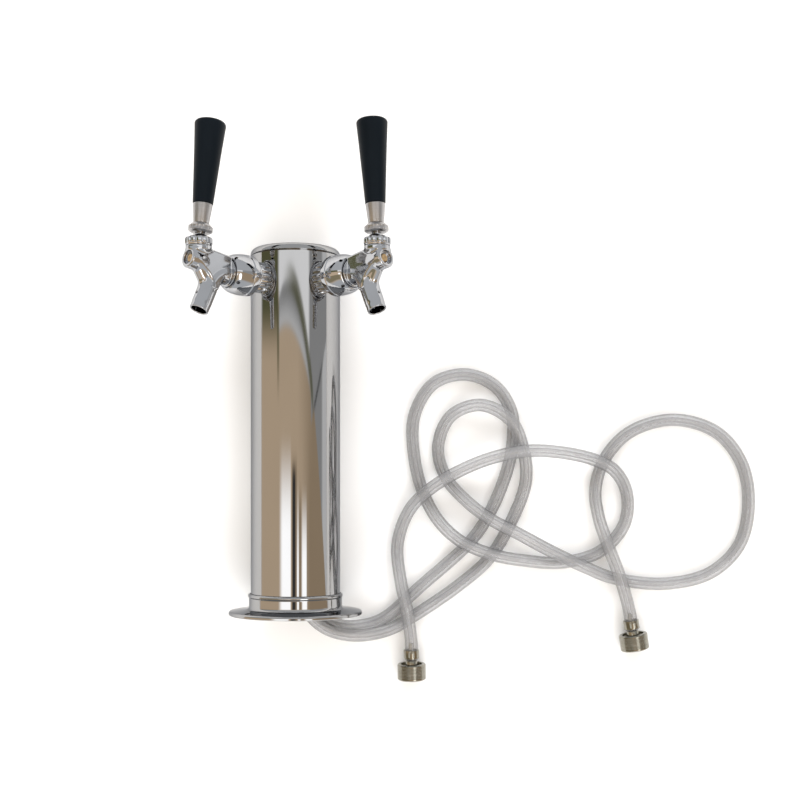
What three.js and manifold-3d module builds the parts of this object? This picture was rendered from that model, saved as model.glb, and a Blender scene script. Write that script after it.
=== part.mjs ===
// A two-tap beer tower: a polished column on a screw-down flange, two lever faucets
// set a right angle apart, and two vinyl beer lines that end in swivel nuts.
// Units are millimetres. The pieces are made in the tower's own frame: +Y runs up the
// column's axis from the middle of the flange's underside, and +Z points between the
// faucets. The tower is then laid on its back on the plane Z = 0.

import * as THREE from 'three';
import { mergeVertices } from 'three/addons/utils/BufferGeometryUtils.js';
import Module from 'manifold-3d';

const wasm = await Module();
wasm.setup();

// Clearances
const gap = 0.3; // between pieces that touch
const overrun = 1; // how far a cut runs past a face
const weld = 0.001; // points nearer than this are one point

// Column, cap and flange
const columnRadius = 38.1;
const columnWall = 1.5;
const columnLength = 302.4;
const capRise = 6;
const capCorner = 5;
const capCrown = 0.6;
const capWall = 1.6;
const capSkirt = 9;
const flangeRadius = 56.8;
const flangeRim = 3.5;
const flangeRise = 1.2;
const flangeCorner = 1.8;
const flangeUnderEdge = 0.6;
const flangeOpening = 36;
const ledgeHeight = 1.8;
const neckWall = 1.2;
const neckLength = 11.5;
const neckFillet = 5.5;
const beadRadius = 2;
const beadProud = 0.8;
const screwHoleRadius = 2.75;
const screwFromRim = 5.5;
const screwCount = 4;

// Shank: the tube that carries a faucet through the column wall
const tapAngle = 45; // degrees each side of +Z
const shankBelowCap = 22.3;
const shankRadius = 8;
const shankBore = 3;
const shankHeadRadius = 11;
const shankHeadLength = 2.8;
const collarRadius = 12.8;
const collarBarrel = 8.9;
const collarFluteDepth = 1.3;
const collarFluteCount = 16;
const collarRim = 3;
const collarRimRadius = 14.3;
const collarRimRound = 0.8;
const saddleRadius = 12;
const saddleDepth = 3.6; // its flat side, in from the column's inner face
const locknutLength = 4.2;
const locknutRadius = 13.2;

// Coupling nut, which draws the faucet onto the shank's head
const nutLength = 21.7;
const nutRadius = 16.8;
const nutMouthRadius = 12.7;
const nutRimLength = 5.2;
const nutGroove = 0.6;
const nutEdge = 0.9;
const nutBackWall = 3.2;
const nutCavityRadius = 11.6;
const nutDomeShares = [[0.34, 1], [0.52, 0.985], [0.7, 0.95], [0.86, 0.885], [0.97, 0.8]];
const spannerHoleRadius = 1.4;
const spannerHoleCount = 4;
const spannerHoleBack = 2.2; // its centre, back from the nut's front face
const spannerHoleTurn = 52; // degrees from straight up
const gasketThickness = 1.2;
const gasketBore = 5.8;

// Faucet body
const pivotReach = 28.2; // the lever's axis, in front of the body's rear face
const pivotRise = 17; // the lever's pivot, above the shank's axis
const webThickness = 15;
const webEdge = 1.2;
const webRearHeight = 12;
const webFrontHeight = 15.2;
const keelDrop = 2.3; // centreline of the round underside, below the shank's axis
const keelRadius = 7.5;
const keelBend = 12;
const spoutRadius = 7.7;
const spoutBore = 6.3;
const spoutTilt = 25; // degrees from straight down
const spoutTipDrop = 33;
const spoutLip = 0.4;
const ventRadius = 1.2;
const ventRise = 12; // above the spout's tip
const noseRadius = 5.2;
const noseTopShares = [0.24, 0.33]; // of the boss's reach and the web's height
const noseFootRise = 19;
const barrelRadius = 10.4;
const barrelFoot = 8.6; // below the pivot
const barrelShoulder = 2.6;
const bossReach = 10.5; // the boss's face, in front of the lever's axis
const bossRadius = 8.5;
const bossRound = 1.2;
const bossRecessRadius = 5.5;
const bossRecessDepth = 2.6;
const bossTaperShares = [[0.55, -0.85], [0.84, -0.32], [0.96, 0.2], [1, 0.5]];
// The front edge of the flat sides: shares of the boss's reach and of the web's height
const frontEdgeShares = [[0.8, 0.98], [0.72, 0.46], [0.12, 0.13], [-0.5, -0.26], [-0.82, -0.66], [-1, -1.05]];
const faucetBore = 5.5;
const faucetBoreDepth = 8;

// Valve: the shaft that the lever's lower end moves
const valveTilt = 10; // degrees, rising towards the front
const valveDrop = 10.85; // its axis, straight below the pivot
const shaftRadius = 3.4;
const shaftWaist = 2.2;
const shaftTaper = 1.2;
const shaftFace = 8.8; // its front end, in front of the lever's axis
const shaftTail = 31; // its rear end, behind the lever's axis
const shaftShoulder = 6;
const seatBack = 24; // the seat's plane, behind the lever's axis
const seatHole = 4.2;
const seatWall = 4;
const flowRadius = 5;
const flowFront = 7;
const chamberRadius = 6.2;
const chamberLength = 14;
const sealRadius = 5.7;
const sealThickness = 2.7;
const shaftNutRadius = 4.4;
const shaftNutLength = 2.3;

// Lever, bonnet and handle, measured from the pivot
const leverLean = { left: 6.5, right: 3.5 }; // degrees back towards the column
const leverTravel = 30; // degrees forward from rest
const ballRadius = 5.5;
const pinArm = 10.5;
const pinBall = 1.9;
const pinStem = 1.1;
const pinPlay = 0.5;
const studRadius = 3.5;
const studLength = 33;
const bonnetBase = 1;
const bonnetCollar = 1.4;
const bonnetRadius = 10.9;
const bonnetFluteTop = 6.6;
const bonnetShoulder = 0.8;
const bonnetDome = 11.2;
const bonnetFluteRadius = 0.9;
const bonnetFluteCount = 12;
const bonnetCavity = 8.8;
const washerHeight = 2.3;
const locknutUnder = 11.7; // the lever locknut's underside, above the pivot
const leverNutRadius = 9.7;
const leverNutHeight = 7.1;
const leverNutFoot = 8;
const leverNutTop = 7;
const leverNutUnderBevel = 1.2;
const leverNutTopBevel = 2.2;
const ferruleHeight = 15.8;
const ferruleFoot = 6.25;
const ferruleHead = 8;
const ferruleSpigot = 5;
const spigotLength = 10;
const gripFoot = 8.15;
const gripHead = 12.65;
const gripLength = 67.8;
const gripCrown = 3;

// Elbow tailpiece inside the column, with its nut, washer and hose clamp
const elbowRadius = 3.6;
const elbowBore = 2;
const elbowDrop = 14.2;
const elbowFlange = 7.4;
const elbowFlangeLength = 1.6;
const tailWasherThickness = 0.8;
const tailNutRadius = 11;
const tailNutBack = 1.5;
const tailNutGrip = 3.2; // how much of the shank it covers
const tailNutRoom = 0.4; // from its end to the shank's locknut
const barbRadius = 2.7;
const barbCore = 2.2;
const barbLength = 15;
const barbRidges = 3;

// Beer lines
const hoseRadius = 5.55;
const hosePocket = 3;
const hoseLift = 0.3; // keeps the curve between two route points off the surface
const layerRise = 12.2; // from one layer of hose to the next where they cross
const hoseSides = 8;
const hoseSteps = 76;
const clampBand = 0.8;
const clampLength = 7.5;
const clampFromEnd = 1.2;
const clampEarWidth = 4;
const clampEarHeight = 2.2;
const straightEnd = 17;

// Swivel connector on a beer line's end
const connectorRadius = 12.7;
const connectorLength = 14;
const connectorEdge = 1;
const connectorRecess = 9.4;
const connectorRecessDepth = 2;
const connectorWall = 1.8;
const connectorCavity = 10.8;
const connectorNeck = 5.2;
const connectorStandoff = 3.5;
const connectorFlange = 10.2;
const connectorFlangeThickness = 2;
const connectorWasherThickness = 2;
const connectorWasherBore = 3.2;
const connectorTurn = { left: 1, right: 9.5 }; // degrees from straight down, to the right
const connectorPlace = { left: [99.6, -56.2], right: [297.8, -29.3] };

// Places that follow from the sizes above
const DEGREE = Math.PI / 180;
const tubeBase = ledgeHeight + gap;
const tubeTop = tubeBase + columnLength;
const capBase = tubeTop + gap;
const columnInner = columnRadius - columnWall;
const screwCircleRadius = flangeRadius - screwFromRim;
const neckInner = columnRadius + gap;
const neckOuter = neckInner + neckWall;
const shankY = capBase - shankBelowCap;
const holeRadius = shankRadius + gap;
const saddleSeat = columnInner - saddleDepth;
const locknutEnd = saddleSeat - gap;
const shankInside = locknutEnd - locknutLength - tailNutRoom - tailNutGrip;
const washerBack = shankInside - gap - tailWasherThickness;
const elbowFace = washerBack - gap;
const elbowBacking = elbowFace - elbowFlangeLength;
const tailNutEnd = elbowBacking - gap - tailNutBack;
const elbowOut = tailNutEnd - gap - elbowRadius;
const collarEnd = columnRadius + collarBarrel + collarRim;
const nutBack = collarEnd + gap;
const nutFront = nutBack + nutLength;
const headStart = nutBack + nutBackWall + gap;
const headEnd = headStart + shankHeadLength;
const gasketEnd = headEnd + gap + gasketThickness;
const tailStart = gasketEnd + gap;
const tailRadius = nutCavityRadius - gap;
const webStart = nutFront + gap;
const pivotOut = webStart + pivotReach;
const spoutOut = pivotOut;
const hoseDiameter = 2 * hoseRadius;

// The surface that the tower lies on touches the flange's rim and the cap's back edge.
const surfaceSlope = (flangeRadius - columnRadius) / (capBase + capRise - capCorner - flangeRim / 2);
const surfaceAt = (y) => surfaceSlope * (y - flangeRim / 2) - flangeRadius;

// Beer line routes. The points in the column and under the flange are x, y, z.
// Those on the surface are x, y and how many hoses the line lies on there.
const routeInside = {
  left: [[-9, 150, 3], [-5, 62, 0], [9, 10, -9], [18, -3, -18], [34, -13, -35], [52, -15.5, -47], [73, -10, -51.6]],
  right: [[8, 150, 12], [0, 60, 14], [9, 6, 3], [22, -11, -8], [40, -20, -23], [60, -22, -35], [82, -18, -49.3], [100, -8, -51.6]],
};
const routeOnSurface = {
  left: [
    [108, 20, 0], [157, 66, 0], [180, 110, 0], [189, 146, 0], [188, 175, 0], [173, 198, 0], [147, 208, 0],
    [119, 200, 0], [102, 172, 0], [102, 134, 0], [110, 103, 0], [123, 79, 0.42], [142, 61, 1.02], [170, 49, 1],
    [200, 43, 0.35], [234, 41, 0], [268, 51, 0], [289, 75, 0], [291, 102, 0.08], [278, 123, 0.85], [258, 133, 1.05],
    [216, 140, 1.55], [186, 138, 1.82], [151, 127, 1.3], [116, 107, 1.17], [97, 87, 0.45], [87, 57, 0.1],
    [90, 24, 0.8], [95, 1, 1.2],
  ],
  right: [
    [141, 20, 0], [169, 45, 0], [189, 79, 0], [201, 113, 0.1], [198, 141, 0.7], [186, 167, 1.1], [160, 180.5, 0.8],
    [134, 171, 0.2], [123, 144, 0], [130, 117, 0], [148, 96, 0.5], [169, 80, 1.04], [194, 67, 1.02], [224, 51, 1.05],
    [252, 38, 0.9], [280, 27, 0.08], [326, 22, 0], [367, 32, 0], [392, 57, 0], [400, 92, 0], [393, 129, 0],
    [370, 157, 0], [331, 168, 0], [293, 157, 0], [271, 133, 0], [263, 106, 0.08], [265, 82, 0.6], [273, 56, 1.1],
    [283, 30, 1.12],
  ],
};

// Finishes
const finish = (color, metalness, roughness) => new THREE.MeshStandardMaterial({ color, metalness, roughness });
const polished = finish(0xc9ccd0, 1, 0.08);
const chrome = finish(0xd4d7da, 1, 0.06);
const satin = finish(0xa9a8ad, 1, 0.3);
const nickel = finish(0x8f8878, 1, 0.28);
const brass = finish(0xb08d4a, 1, 0.25);
const blackPlastic = finish(0x151517, 0, 0.42);
const vinyl = finish(0xa7a6a4, 0, 0.2);
const rubber = finish(0x2a2a2b, 0, 0.8);
const nylon = finish(0xe6e4dc, 0, 0.5);

// Joining and cutting
function solidOf(geometry) {
  const bare = geometry.clone();
  bare.deleteAttribute('normal');
  bare.deleteAttribute('uv');
  const merged = mergeVertices(bare, weld);
  return new wasm.Manifold(
    new wasm.Mesh({
      numProp: 3,
      vertProperties: merged.attributes.position.array,
      triVerts: new Uint32Array(merged.index.array),
    }),
  );
}

function geometryOf(solid) {
  const mesh = solid.getMesh();
  const position = new THREE.BufferAttribute(mesh.vertProperties, mesh.numProp);
  const geometry = new THREE.BufferGeometry().setAttribute('position', position);
  geometry.setIndex(new THREE.BufferAttribute(mesh.triVerts, 1));
  geometry.computeVertexNormals();
  return geometry;
}

function shape(base, { add = [], cut = [], keep = [] }) {
  let solid = solidOf(base);
  for (const piece of add) solid = solid.add(solidOf(piece));
  for (const piece of cut) solid = solid.subtract(solidOf(piece));
  for (const piece of keep) solid = solid.intersect(solidOf(piece));
  return geometryOf(solid);
}

// A solid of revolution about Y from points of radius and height, either way round.
function revolve(points, sides) {
  let area = 0;
  points.forEach(([r, y], i) => {
    const [nextR, nextY] = points[(i + 1) % points.length];
    area += r * nextY - nextR * y;
  });
  const loop = area > 0 ? points : points.slice().reverse();
  const closed = [...loop, loop[0]];
  return new THREE.LatheGeometry(closed.map(([r, y]) => new THREE.Vector2(r, y)), sides);
}

const rod = (radius, from, to, sides) => revolve([[0, from], [radius, from], [radius, to], [0, to]], sides);

const ring = (inner, outer, from, to, sides) =>
  revolve([[inner, from], [outer, from], [outer, to], [inner, to]], sides);

function arc(centreR, centreY, radius, fromDegrees, toDegrees, steps) {
  const points = [];
  for (let i = 0; i <= steps; i++) {
    const angle = (fromDegrees + ((toDegrees - fromDegrees) * i) / steps) * DEGREE;
    points.push([centreR + radius * Math.cos(angle), centreY + radius * Math.sin(angle)]);
  }
  return points;
}

function block(x, y, z) {
  const box = new THREE.BoxGeometry(x[1] - x[0], y[1] - y[0], z[1] - z[0]);
  return box.translate((x[0] + x[1]) / 2, (y[0] + y[1]) / 2, (z[0] + z[1]) / 2);
}

// In a faucet's own frame +Z points out of the column, +Y along the column and X across.
const alongShank = (geometry) => geometry.rotateX(90 * DEGREE);
const valveY = pivotRise - valveDrop;
const alongValve = (geometry) => geometry.rotateX((90 - valveTilt) * DEGREE).translate(0, valveY, pivotOut);
const aboutPivot = (geometry) => geometry.translate(0, pivotRise, pivotOut);
const alongSpout = (geometry) => geometry.rotateX(-spoutTilt * DEGREE).translate(0, -spoutTipDrop, spoutOut);

// A tube swept along points in the middle plane of a faucet.
function sweep(path, radius, sides, steps) {
  const section = new THREE.Shape(
    arc(0, 0, radius, 0, 360, sides)
      .slice(0, sides)
      .map(([x, y]) => new THREE.Vector2(x, y)),
  );
  return new THREE.ExtrudeGeometry(section, { extrudePath: path, steps, bevelEnabled: false });
}

const tower = new THREE.Group();

function addPiece(group, name, geometry, material) {
  const mesh = new THREE.Mesh(geometry, material);
  mesh.name = name;
  group.add(mesh);
}

// Column, cap and flange
const wideSides = 40;

function columnTube() {
  const tube = ring(columnInner, columnRadius, tubeBase, tubeTop, wideSides);
  const holes = [-tapAngle, tapAngle].map((angle) =>
    alongShank(rod(holeRadius, 0, columnRadius + overrun, 24)).rotateY(angle * DEGREE).translate(0, shankY, 0),
  );
  return shape(tube, { cut: holes });
}

function columnCap() {
  const top = capBase + capRise;
  const skirtOuter = columnInner - gap;
  const skirtInner = skirtOuter - capWall;
  return revolve(
    [
      [0, top + capCrown],
      [(columnRadius - capCorner) / 2, top + capCrown * 0.75],
      ...arc(columnRadius - capCorner, top - capCorner, capCorner, 90, 0, 3),
      [columnRadius, capBase],
      [skirtOuter, capBase],
      [skirtOuter, capBase - capSkirt],
      [skirtInner, capBase - capSkirt],
      [skirtInner, top - capCorner],
      [columnRadius - capCorner - capWall, top - capWall],
      [0, top - capWall],
    ],
    wideSides,
  );
}

function baseFlange() {
  const rise = flangeRim + flangeRise;
  const beadY = rise + neckLength;
  const bead = neckOuter + beadProud - beadRadius;
  const profile = [
    [flangeOpening, 0],
    [flangeRadius - flangeUnderEdge, 0],
    [flangeRadius, flangeUnderEdge],
    ...arc(flangeRadius - flangeCorner, flangeRim - flangeCorner, flangeCorner, 0, 80, 2),
    ...arc(neckOuter + neckFillet, rise + neckFillet, neckFillet, 260, 180, 3),
    ...arc(bead, beadY, beadRadius, -60, 90, 4),
    [neckInner, beadY + beadRadius],
    [neckInner, ledgeHeight],
    [flangeOpening, ledgeHeight],
  ];
  const holes = [];
  for (let i = 0; i < screwCount; i++) {
    const angle = ((i + 0.5) * 360 * DEGREE) / screwCount;
    const hole = rod(screwHoleRadius, -overrun, rise + overrun, 12);
    holes.push(hole.translate(screwCircleRadius * Math.sin(angle), 0, screwCircleRadius * Math.cos(angle)));
  }
  return shape(revolve(profile, wideSides), { cut: holes });
}

addPiece(tower, 'column_tube', columnTube(), polished);
addPiece(tower, 'column_cap', columnCap(), polished);
addPiece(tower, 'base_flange', baseFlange(), polished);

// Shank pieces
function shank() {
  const outline = [
    [shankBore, shankInside],
    [shankRadius, shankInside],
    [shankRadius, headStart],
    [shankHeadRadius, headStart],
    [shankHeadRadius, headEnd],
    [shankBore, headEnd],
  ];
  return alongShank(revolve(outline, 16));
}

function shankCollar() {
  const barrelEnd = columnRadius + collarBarrel;
  const flutes = [];
  const stepsPerFlute = 3;
  for (let i = 0; i < collarFluteCount * stepsPerFlute; i++) {
    const wave = (1 - Math.cos((2 * Math.PI * i) / stepsPerFlute)) / 2;
    const angle = (2 * Math.PI * i) / (collarFluteCount * stepsPerFlute);
    const radius = collarRadius - collarFluteDepth * wave;
    flutes.push(new THREE.Vector2(radius * Math.cos(angle), radius * Math.sin(angle)));
  }
  const start = columnInner;
  const barrel = new THREE.ExtrudeGeometry(new THREE.Shape(flutes), {
    depth: barrelEnd - start,
    bevelEnabled: false,
  }).translate(0, 0, start);
  const rim = alongShank(
    revolve(
      [
        [0, barrelEnd],
        [collarRimRadius - collarRimRound, barrelEnd],
        [collarRimRadius, barrelEnd + collarRimRound],
        [collarRimRadius, collarEnd - collarRimRound],
        [collarRimRadius - collarRimRound, collarEnd],
        [0, collarEnd],
      ],
      32,
    ),
  );
  const column = rod(neckInner, -collarRadius - overrun, collarRadius + overrun, wideSides);
  const bore = alongShank(rod(holeRadius, 0, collarEnd + overrun, 24));
  return shape(barrel, { add: [rim], cut: [column, bore] });
}

function shankSaddle() {
  const blank = alongShank(ring(holeRadius, saddleRadius, saddleSeat, columnRadius, 24));
  const inside = rod(columnInner - gap, -saddleRadius - overrun, saddleRadius + overrun, wideSides);
  return shape(blank, { keep: [inside] });
}

function shankLocknut() {
  const start = locknutEnd - locknutLength;
  const hexagon = alongShank(rod(locknutRadius, start, locknutEnd, 6));
  const bore = alongShank(rod(holeRadius, start - overrun, locknutEnd + overrun, 24));
  return shape(hexagon, { cut: [bore] });
}

// Coupling nut and gasket
function couplingNut() {
  const grooveEnd = nutBack + nutRimLength;
  const dome = nutDomeShares.map(([along, across]) => [nutRadius * across, nutBack + nutLength * along]);
  const outline = [
    [holeRadius, nutBack],
    [nutRadius - nutEdge, nutBack],
    [nutRadius, nutBack + nutEdge],
    [nutRadius, grooveEnd],
    [nutRadius - nutGroove, grooveEnd + nutGroove],
    [nutRadius, grooveEnd + 2 * nutGroove],
    ...dome,
    [nutMouthRadius, nutFront],
    [nutCavityRadius, nutFront],
    [nutCavityRadius, nutBack + nutBackWall],
    [holeRadius, nutBack + nutBackWall],
  ];
  const holes = [];
  for (let i = 0; i < spannerHoleCount; i++) {
    const turn = spannerHoleTurn + (360 * i) / spannerHoleCount;
    const hole = rod(spannerHoleRadius, shankRadius, nutRadius + overrun, 8);
    holes.push(hole.rotateZ(-turn * DEGREE).translate(0, 0, nutFront - spannerHoleBack));
  }
  return shape(alongShank(revolve(outline, 28)), { cut: holes });
}

const couplingGasket = () => alongShank(ring(gasketBore, tailRadius, headEnd + gap, gasketEnd, 16));

// Faucet body
const spoutReach = (height) => spoutOut - (height + spoutTipDrop) * Math.tan(spoutTilt * DEGREE);
const inPlane = (out, height) => new THREE.Vector3(0, height, out);

function keelPath() {
  const corner = inPlane(spoutReach(-keelDrop), -keelDrop);
  const down = inPlane(Math.sin(spoutTilt * DEGREE), -Math.cos(spoutTilt * DEGREE));
  const bendStart = inPlane(corner.z - keelBend, -keelDrop);
  const bendEnd = corner.clone().addScaledVector(down, keelBend);
  const path = new THREE.CurvePath();
  path.add(new THREE.LineCurve3(inPlane(nutFront - webEdge, -keelDrop), bendStart));
  path.add(new THREE.QuadraticBezierCurve3(bendStart, corner, bendEnd));
  path.add(new THREE.LineCurve3(bendEnd, inPlane(spoutOut, -spoutTipDrop).addScaledVector(down, -spoutRadius)));
  return path;
}

function webPlate() {
  const outline = new THREE.Shape();
  const front = frontEdgeShares.map(([out, up]) => new THREE.Vector2(pivotOut + out * bossReach, up * webFrontHeight));
  const keelCorner = spoutReach(-keelDrop);
  outline.moveTo(webStart, webRearHeight);
  outline.lineTo(pivotOut - barrelRadius, webFrontHeight);
  outline.lineTo(front[0].x, front[0].y);
  outline.splineThru(front.slice(1));
  const foot = front.at(-1);
  outline.lineTo(foot.x - keelRadius / 2, foot.y);
  outline.lineTo(keelCorner - keelBend / 2, -keelDrop - keelRadius / 4);
  outline.lineTo(webStart, -keelDrop);
  outline.closePath();
  const plate = new THREE.ExtrudeGeometry(outline, {
    depth: webThickness - 2 * webEdge,
    bevelThickness: webEdge,
    bevelSize: webEdge,
    bevelOffset: -webEdge,
    bevelSegments: 1,
    curveSegments: 2,
  });
  return plate.translate(0, 0, webEdge - webThickness / 2).rotateY(-90 * DEGREE);
}

function faucetBody() {
  const bossFace = bossReach / Math.cos(valveTilt * DEGREE);
  const tail = alongShank(rod(tailRadius, tailStart, webStart + webEdge, 20));
  const keel = sweep(keelPath(), keelRadius, 16, 8);
  const spout = alongSpout(
    revolve(
      [
        [0, 0],
        [spoutRadius - spoutLip, 0],
        [spoutRadius, spoutLip],
        [spoutRadius, spoutTipDrop / 2],
        [keelRadius, spoutTipDrop * 0.6],
        [0, spoutTipDrop * 0.6],
      ],
      20,
    ),
  );
  const barrelTop = bonnetBase - gap;
  const barrel = aboutPivot(
    revolve(
      [
        [0, -barrelFoot],
        [keelRadius - webEdge, -barrelFoot],
        [keelRadius, -barrelShoulder * 2],
        [barrelRadius, -barrelShoulder],
        [barrelRadius, barrelTop],
        [0, barrelTop],
      ],
      20,
    ),
  );
  const bossRear = -bossReach;
  const boss = alongValve(
    revolve(
      [
        [0, bossRear],
        ...bossTaperShares.map(([across, along]) => [bossRadius * across, bossReach * along]),
        [bossRadius, bossFace - bossRound],
        ...arc(bossRadius - bossRound, bossFace - bossRound, bossRound, 30, 90, 2),
        [0, bossFace],
      ],
      20,
    ),
  );
  const noseTop = inPlane(pivotOut + noseTopShares[0] * bossReach, noseTopShares[1] * webFrontHeight);
  const noseFoot = inPlane(spoutReach(noseFootRise - spoutTipDrop), noseFootRise - spoutTipDrop);
  const nose = sweep(new THREE.LineCurve3(noseTop, noseFoot), noseRadius, 16, 1);

  const chamber = alongValve(rod(chamberRadius, -seatBack - chamberLength, -seatBack, 14));
  const seat = alongValve(rod(seatHole, -seatBack - overrun, -seatBack + seatWall + overrun, 14));
  const flow = alongValve(rod(flowRadius, -seatBack + seatWall, -flowFront, 14));
  const guide = alongValve(rod(shaftRadius + gap, -flowFront - overrun, bossFace + overrun, 14));
  const recess = alongValve(rod(bossRecessRadius, bossFace - bossRecessDepth, bossFace + overrun, 14));
  const inlet = alongShank(rod(faucetBore, tailStart - overrun, tailStart + faucetBoreDepth, 14));
  const outletTop = (spoutTipDrop - overrun) / Math.cos(spoutTilt * DEGREE);
  const outlet = alongSpout(rod(spoutBore, -overrun, outletTop, 14));
  const vent = rod(ventRadius, 0, spoutRadius + overrun, 8).rotateX(90 * DEGREE).translate(0, ventRise, 0);
  const socket = aboutPivot(new THREE.SphereGeometry(ballRadius + gap, 12, 8));
  const swing = pinArm * Math.sin(leverTravel * DEGREE) + pinBall + 2 * gap;
  const slotHalf = pinBall + gap;
  const pinSlot = block(
    [-slotHalf, slotHalf],
    [valveY, pivotRise - ballRadius / 2],
    [pivotOut - swing, pivotOut + slotHalf + studRadius / 3],
  );
  return shape(tail, {
    add: [keel, spout, webPlate(), nose, barrel, boss],
    cut: [chamber, seat, flow, guide, recess, inlet, outlet, alongSpout(vent), socket, pinSlot],
  });
}

// Valve pieces
function valveShaft(lean) {
  const outline = [
    [0, -shaftTail],
    [shaftWaist, -shaftTail],
    [shaftWaist, -shaftShoulder - shaftTaper],
    [shaftRadius, -shaftShoulder],
    [shaftRadius, shaftFace - gap],
    [shaftRadius - gap, shaftFace],
    [0, shaftFace],
  ];
  // The slot sits where the lever's pin is at rest.
  const pinOut = pinArm * Math.sin(lean * DEGREE);
  const pinUp = valveDrop - pinArm * Math.cos(lean * DEGREE);
  const centre = pinOut * Math.cos(valveTilt * DEGREE) + pinUp * Math.sin(valveTilt * DEGREE);
  const half = pinBall + pinPlay;
  const across = pinBall + gap;
  const slot = block([-across, across], [centre - half, centre + half], [-shaftRadius - overrun, across]);
  return alongValve(shape(revolve(outline, 20), { cut: [slot] }));
}

const seatWasher = () =>
  alongValve(ring(shaftWaist + gap, sealRadius, -seatBack - gap - sealThickness, -seatBack - gap, 16));

function shaftNut() {
  const front = -seatBack - sealThickness - 2 * gap;
  const bore = rod(shaftWaist + gap, front - shaftNutLength - overrun, front + overrun, 16);
  return alongValve(shape(rod(shaftNutRadius, front - shaftNutLength, front, 6), { cut: [bore] }));
}

// Bonnet, with a slot that lets the lever's stud swing
function bonnet(lean) {
  const side = bonnetBase + bonnetCollar;
  const shoulderY = bonnetFluteTop + bonnetShoulder;
  const domeR = Math.sqrt(bonnetDome ** 2 - shoulderY ** 2);
  const domeStart = Math.atan2(shoulderY, domeR) / DEGREE;
  const outline = [
    [0, bonnetBase],
    [barrelRadius, bonnetBase],
    [barrelRadius, side],
    [bonnetRadius, side],
    [bonnetRadius, bonnetFluteTop],
    ...arc(0, 0, bonnetDome, domeStart, 90, 4),
  ];
  const flutes = [];
  for (let i = 0; i < bonnetFluteCount; i++) {
    const angle = (360 * DEGREE * (i + 0.5)) / bonnetFluteCount;
    const flute = rod(bonnetFluteRadius, side, bonnetFluteTop + overrun, 6);
    const out = bonnetRadius + bonnetFluteRadius / 3;
    flutes.push(flute.translate(out * Math.sin(angle), 0, out * Math.cos(angle)));
  }
  const cavityTop = bonnetBase + washerHeight + gap;
  const cavity = rod(bonnetCavity, bonnetBase - overrun, cavityTop, 16);
  const socket = new THREE.SphereGeometry(ballRadius + gap, 14, 10);
  const slotRadius = studRadius + gap;
  const slotLength = bonnetDome + overrun;
  const ends = [-lean - 1, leverTravel - lean + 1].map((angle) =>
    rod(slotRadius, 0, slotLength, 14).rotateX(angle * DEGREE),
  );
  const fan = new THREE.Shape();
  fan.moveTo(0, 0);
  for (let i = 0; i <= 3; i++) {
    const angle = (-lean - 1 + ((leverTravel + 2) * i) / 3) * DEGREE;
    fan.lineTo(slotLength * Math.sin(angle), slotLength * Math.cos(angle));
  }
  fan.closePath();
  const middle = new THREE.ExtrudeGeometry(fan, { depth: 2 * slotRadius, bevelEnabled: false });
  middle.translate(0, 0, -slotRadius).rotateY(-90 * DEGREE);
  return aboutPivot(shape(revolve(outline, 24), { cut: [...flutes, cavity, socket, ...ends, middle] }));
}

const frictionWasher = () =>
  aboutPivot(ring(ballRadius + 1.3 * gap, bonnetCavity - gap, bonnetBase, bonnetBase + washerHeight, 16));

// Lever and what it carries
function lever() {
  const stemTop = -Math.sqrt(ballRadius ** 2 - pinStem ** 2);
  const stemFoot = -pinArm + Math.sqrt(pinBall ** 2 - pinStem ** 2);
  const ballEdge = Math.sqrt(ballRadius ** 2 - studRadius ** 2);
  const pinFrom = Math.atan2(stemFoot + pinArm, pinStem) / DEGREE;
  const ballFrom = Math.atan2(stemTop, pinStem) / DEGREE;
  const ballTo = Math.atan2(ballEdge, studRadius) / DEGREE;
  return revolve(
    [
      ...arc(0, -pinArm, pinBall, -90, pinFrom, 4),
      ...arc(0, 0, ballRadius, ballFrom, ballTo, 6),
      [studRadius, studLength],
      [0, studLength],
    ],
    16,
  );
}

function leverLocknut() {
  const top = locknutUnder + leverNutHeight;
  return revolve(
    [
      [studRadius + gap, locknutUnder],
      [leverNutFoot, locknutUnder],
      [leverNutRadius, locknutUnder + leverNutUnderBevel],
      [leverNutRadius, top - leverNutTopBevel],
      [leverNutTop, top],
      [studRadius + gap, top],
    ],
    20,
  );
}

const ferruleBase = locknutUnder + leverNutHeight + gap;
const ferruleTop = ferruleBase + ferruleHeight;

function handleFerrule() {
  const bore = studRadius + gap;
  const boreTop = studLength + gap;
  return revolve(
    [
      [bore, ferruleBase],
      [ferruleFoot, ferruleBase],
      [ferruleHead, ferruleTop],
      [ferruleSpigot, ferruleTop],
      [ferruleSpigot, ferruleTop + spigotLength],
      [0, ferruleTop + spigotLength],
      [0, boreTop],
      [bore, boreTop],
    ],
    20,
  );
}

function handleGrip() {
  const base = ferruleTop + gap;
  const top = base + gripLength;
  return revolve(
    [
      [0, top],
      ...arc(gripHead - gripCrown, top - gripCrown, gripCrown, 90, 0, 4),
      [gripFoot, base],
      [ferruleSpigot + gap, base],
      [ferruleSpigot + gap, ferruleTop + spigotLength + gap],
      [0, ferruleTop + spigotLength + gap],
    ],
    20,
  );
}

// Barbed stem that a hose is pushed over, from height 0 downwards
function barb(bore) {
  const points = [[bore, overrun], [barbCore, overrun]];
  for (let i = 0; i < barbRidges; i++) {
    const top = (-barbLength * i) / barbRidges;
    points.push([barbCore, top], [barbRadius, top - gap]);
  }
  points.push([barbCore, -barbLength], [bore, -barbLength]);
  return points;
}

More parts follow.
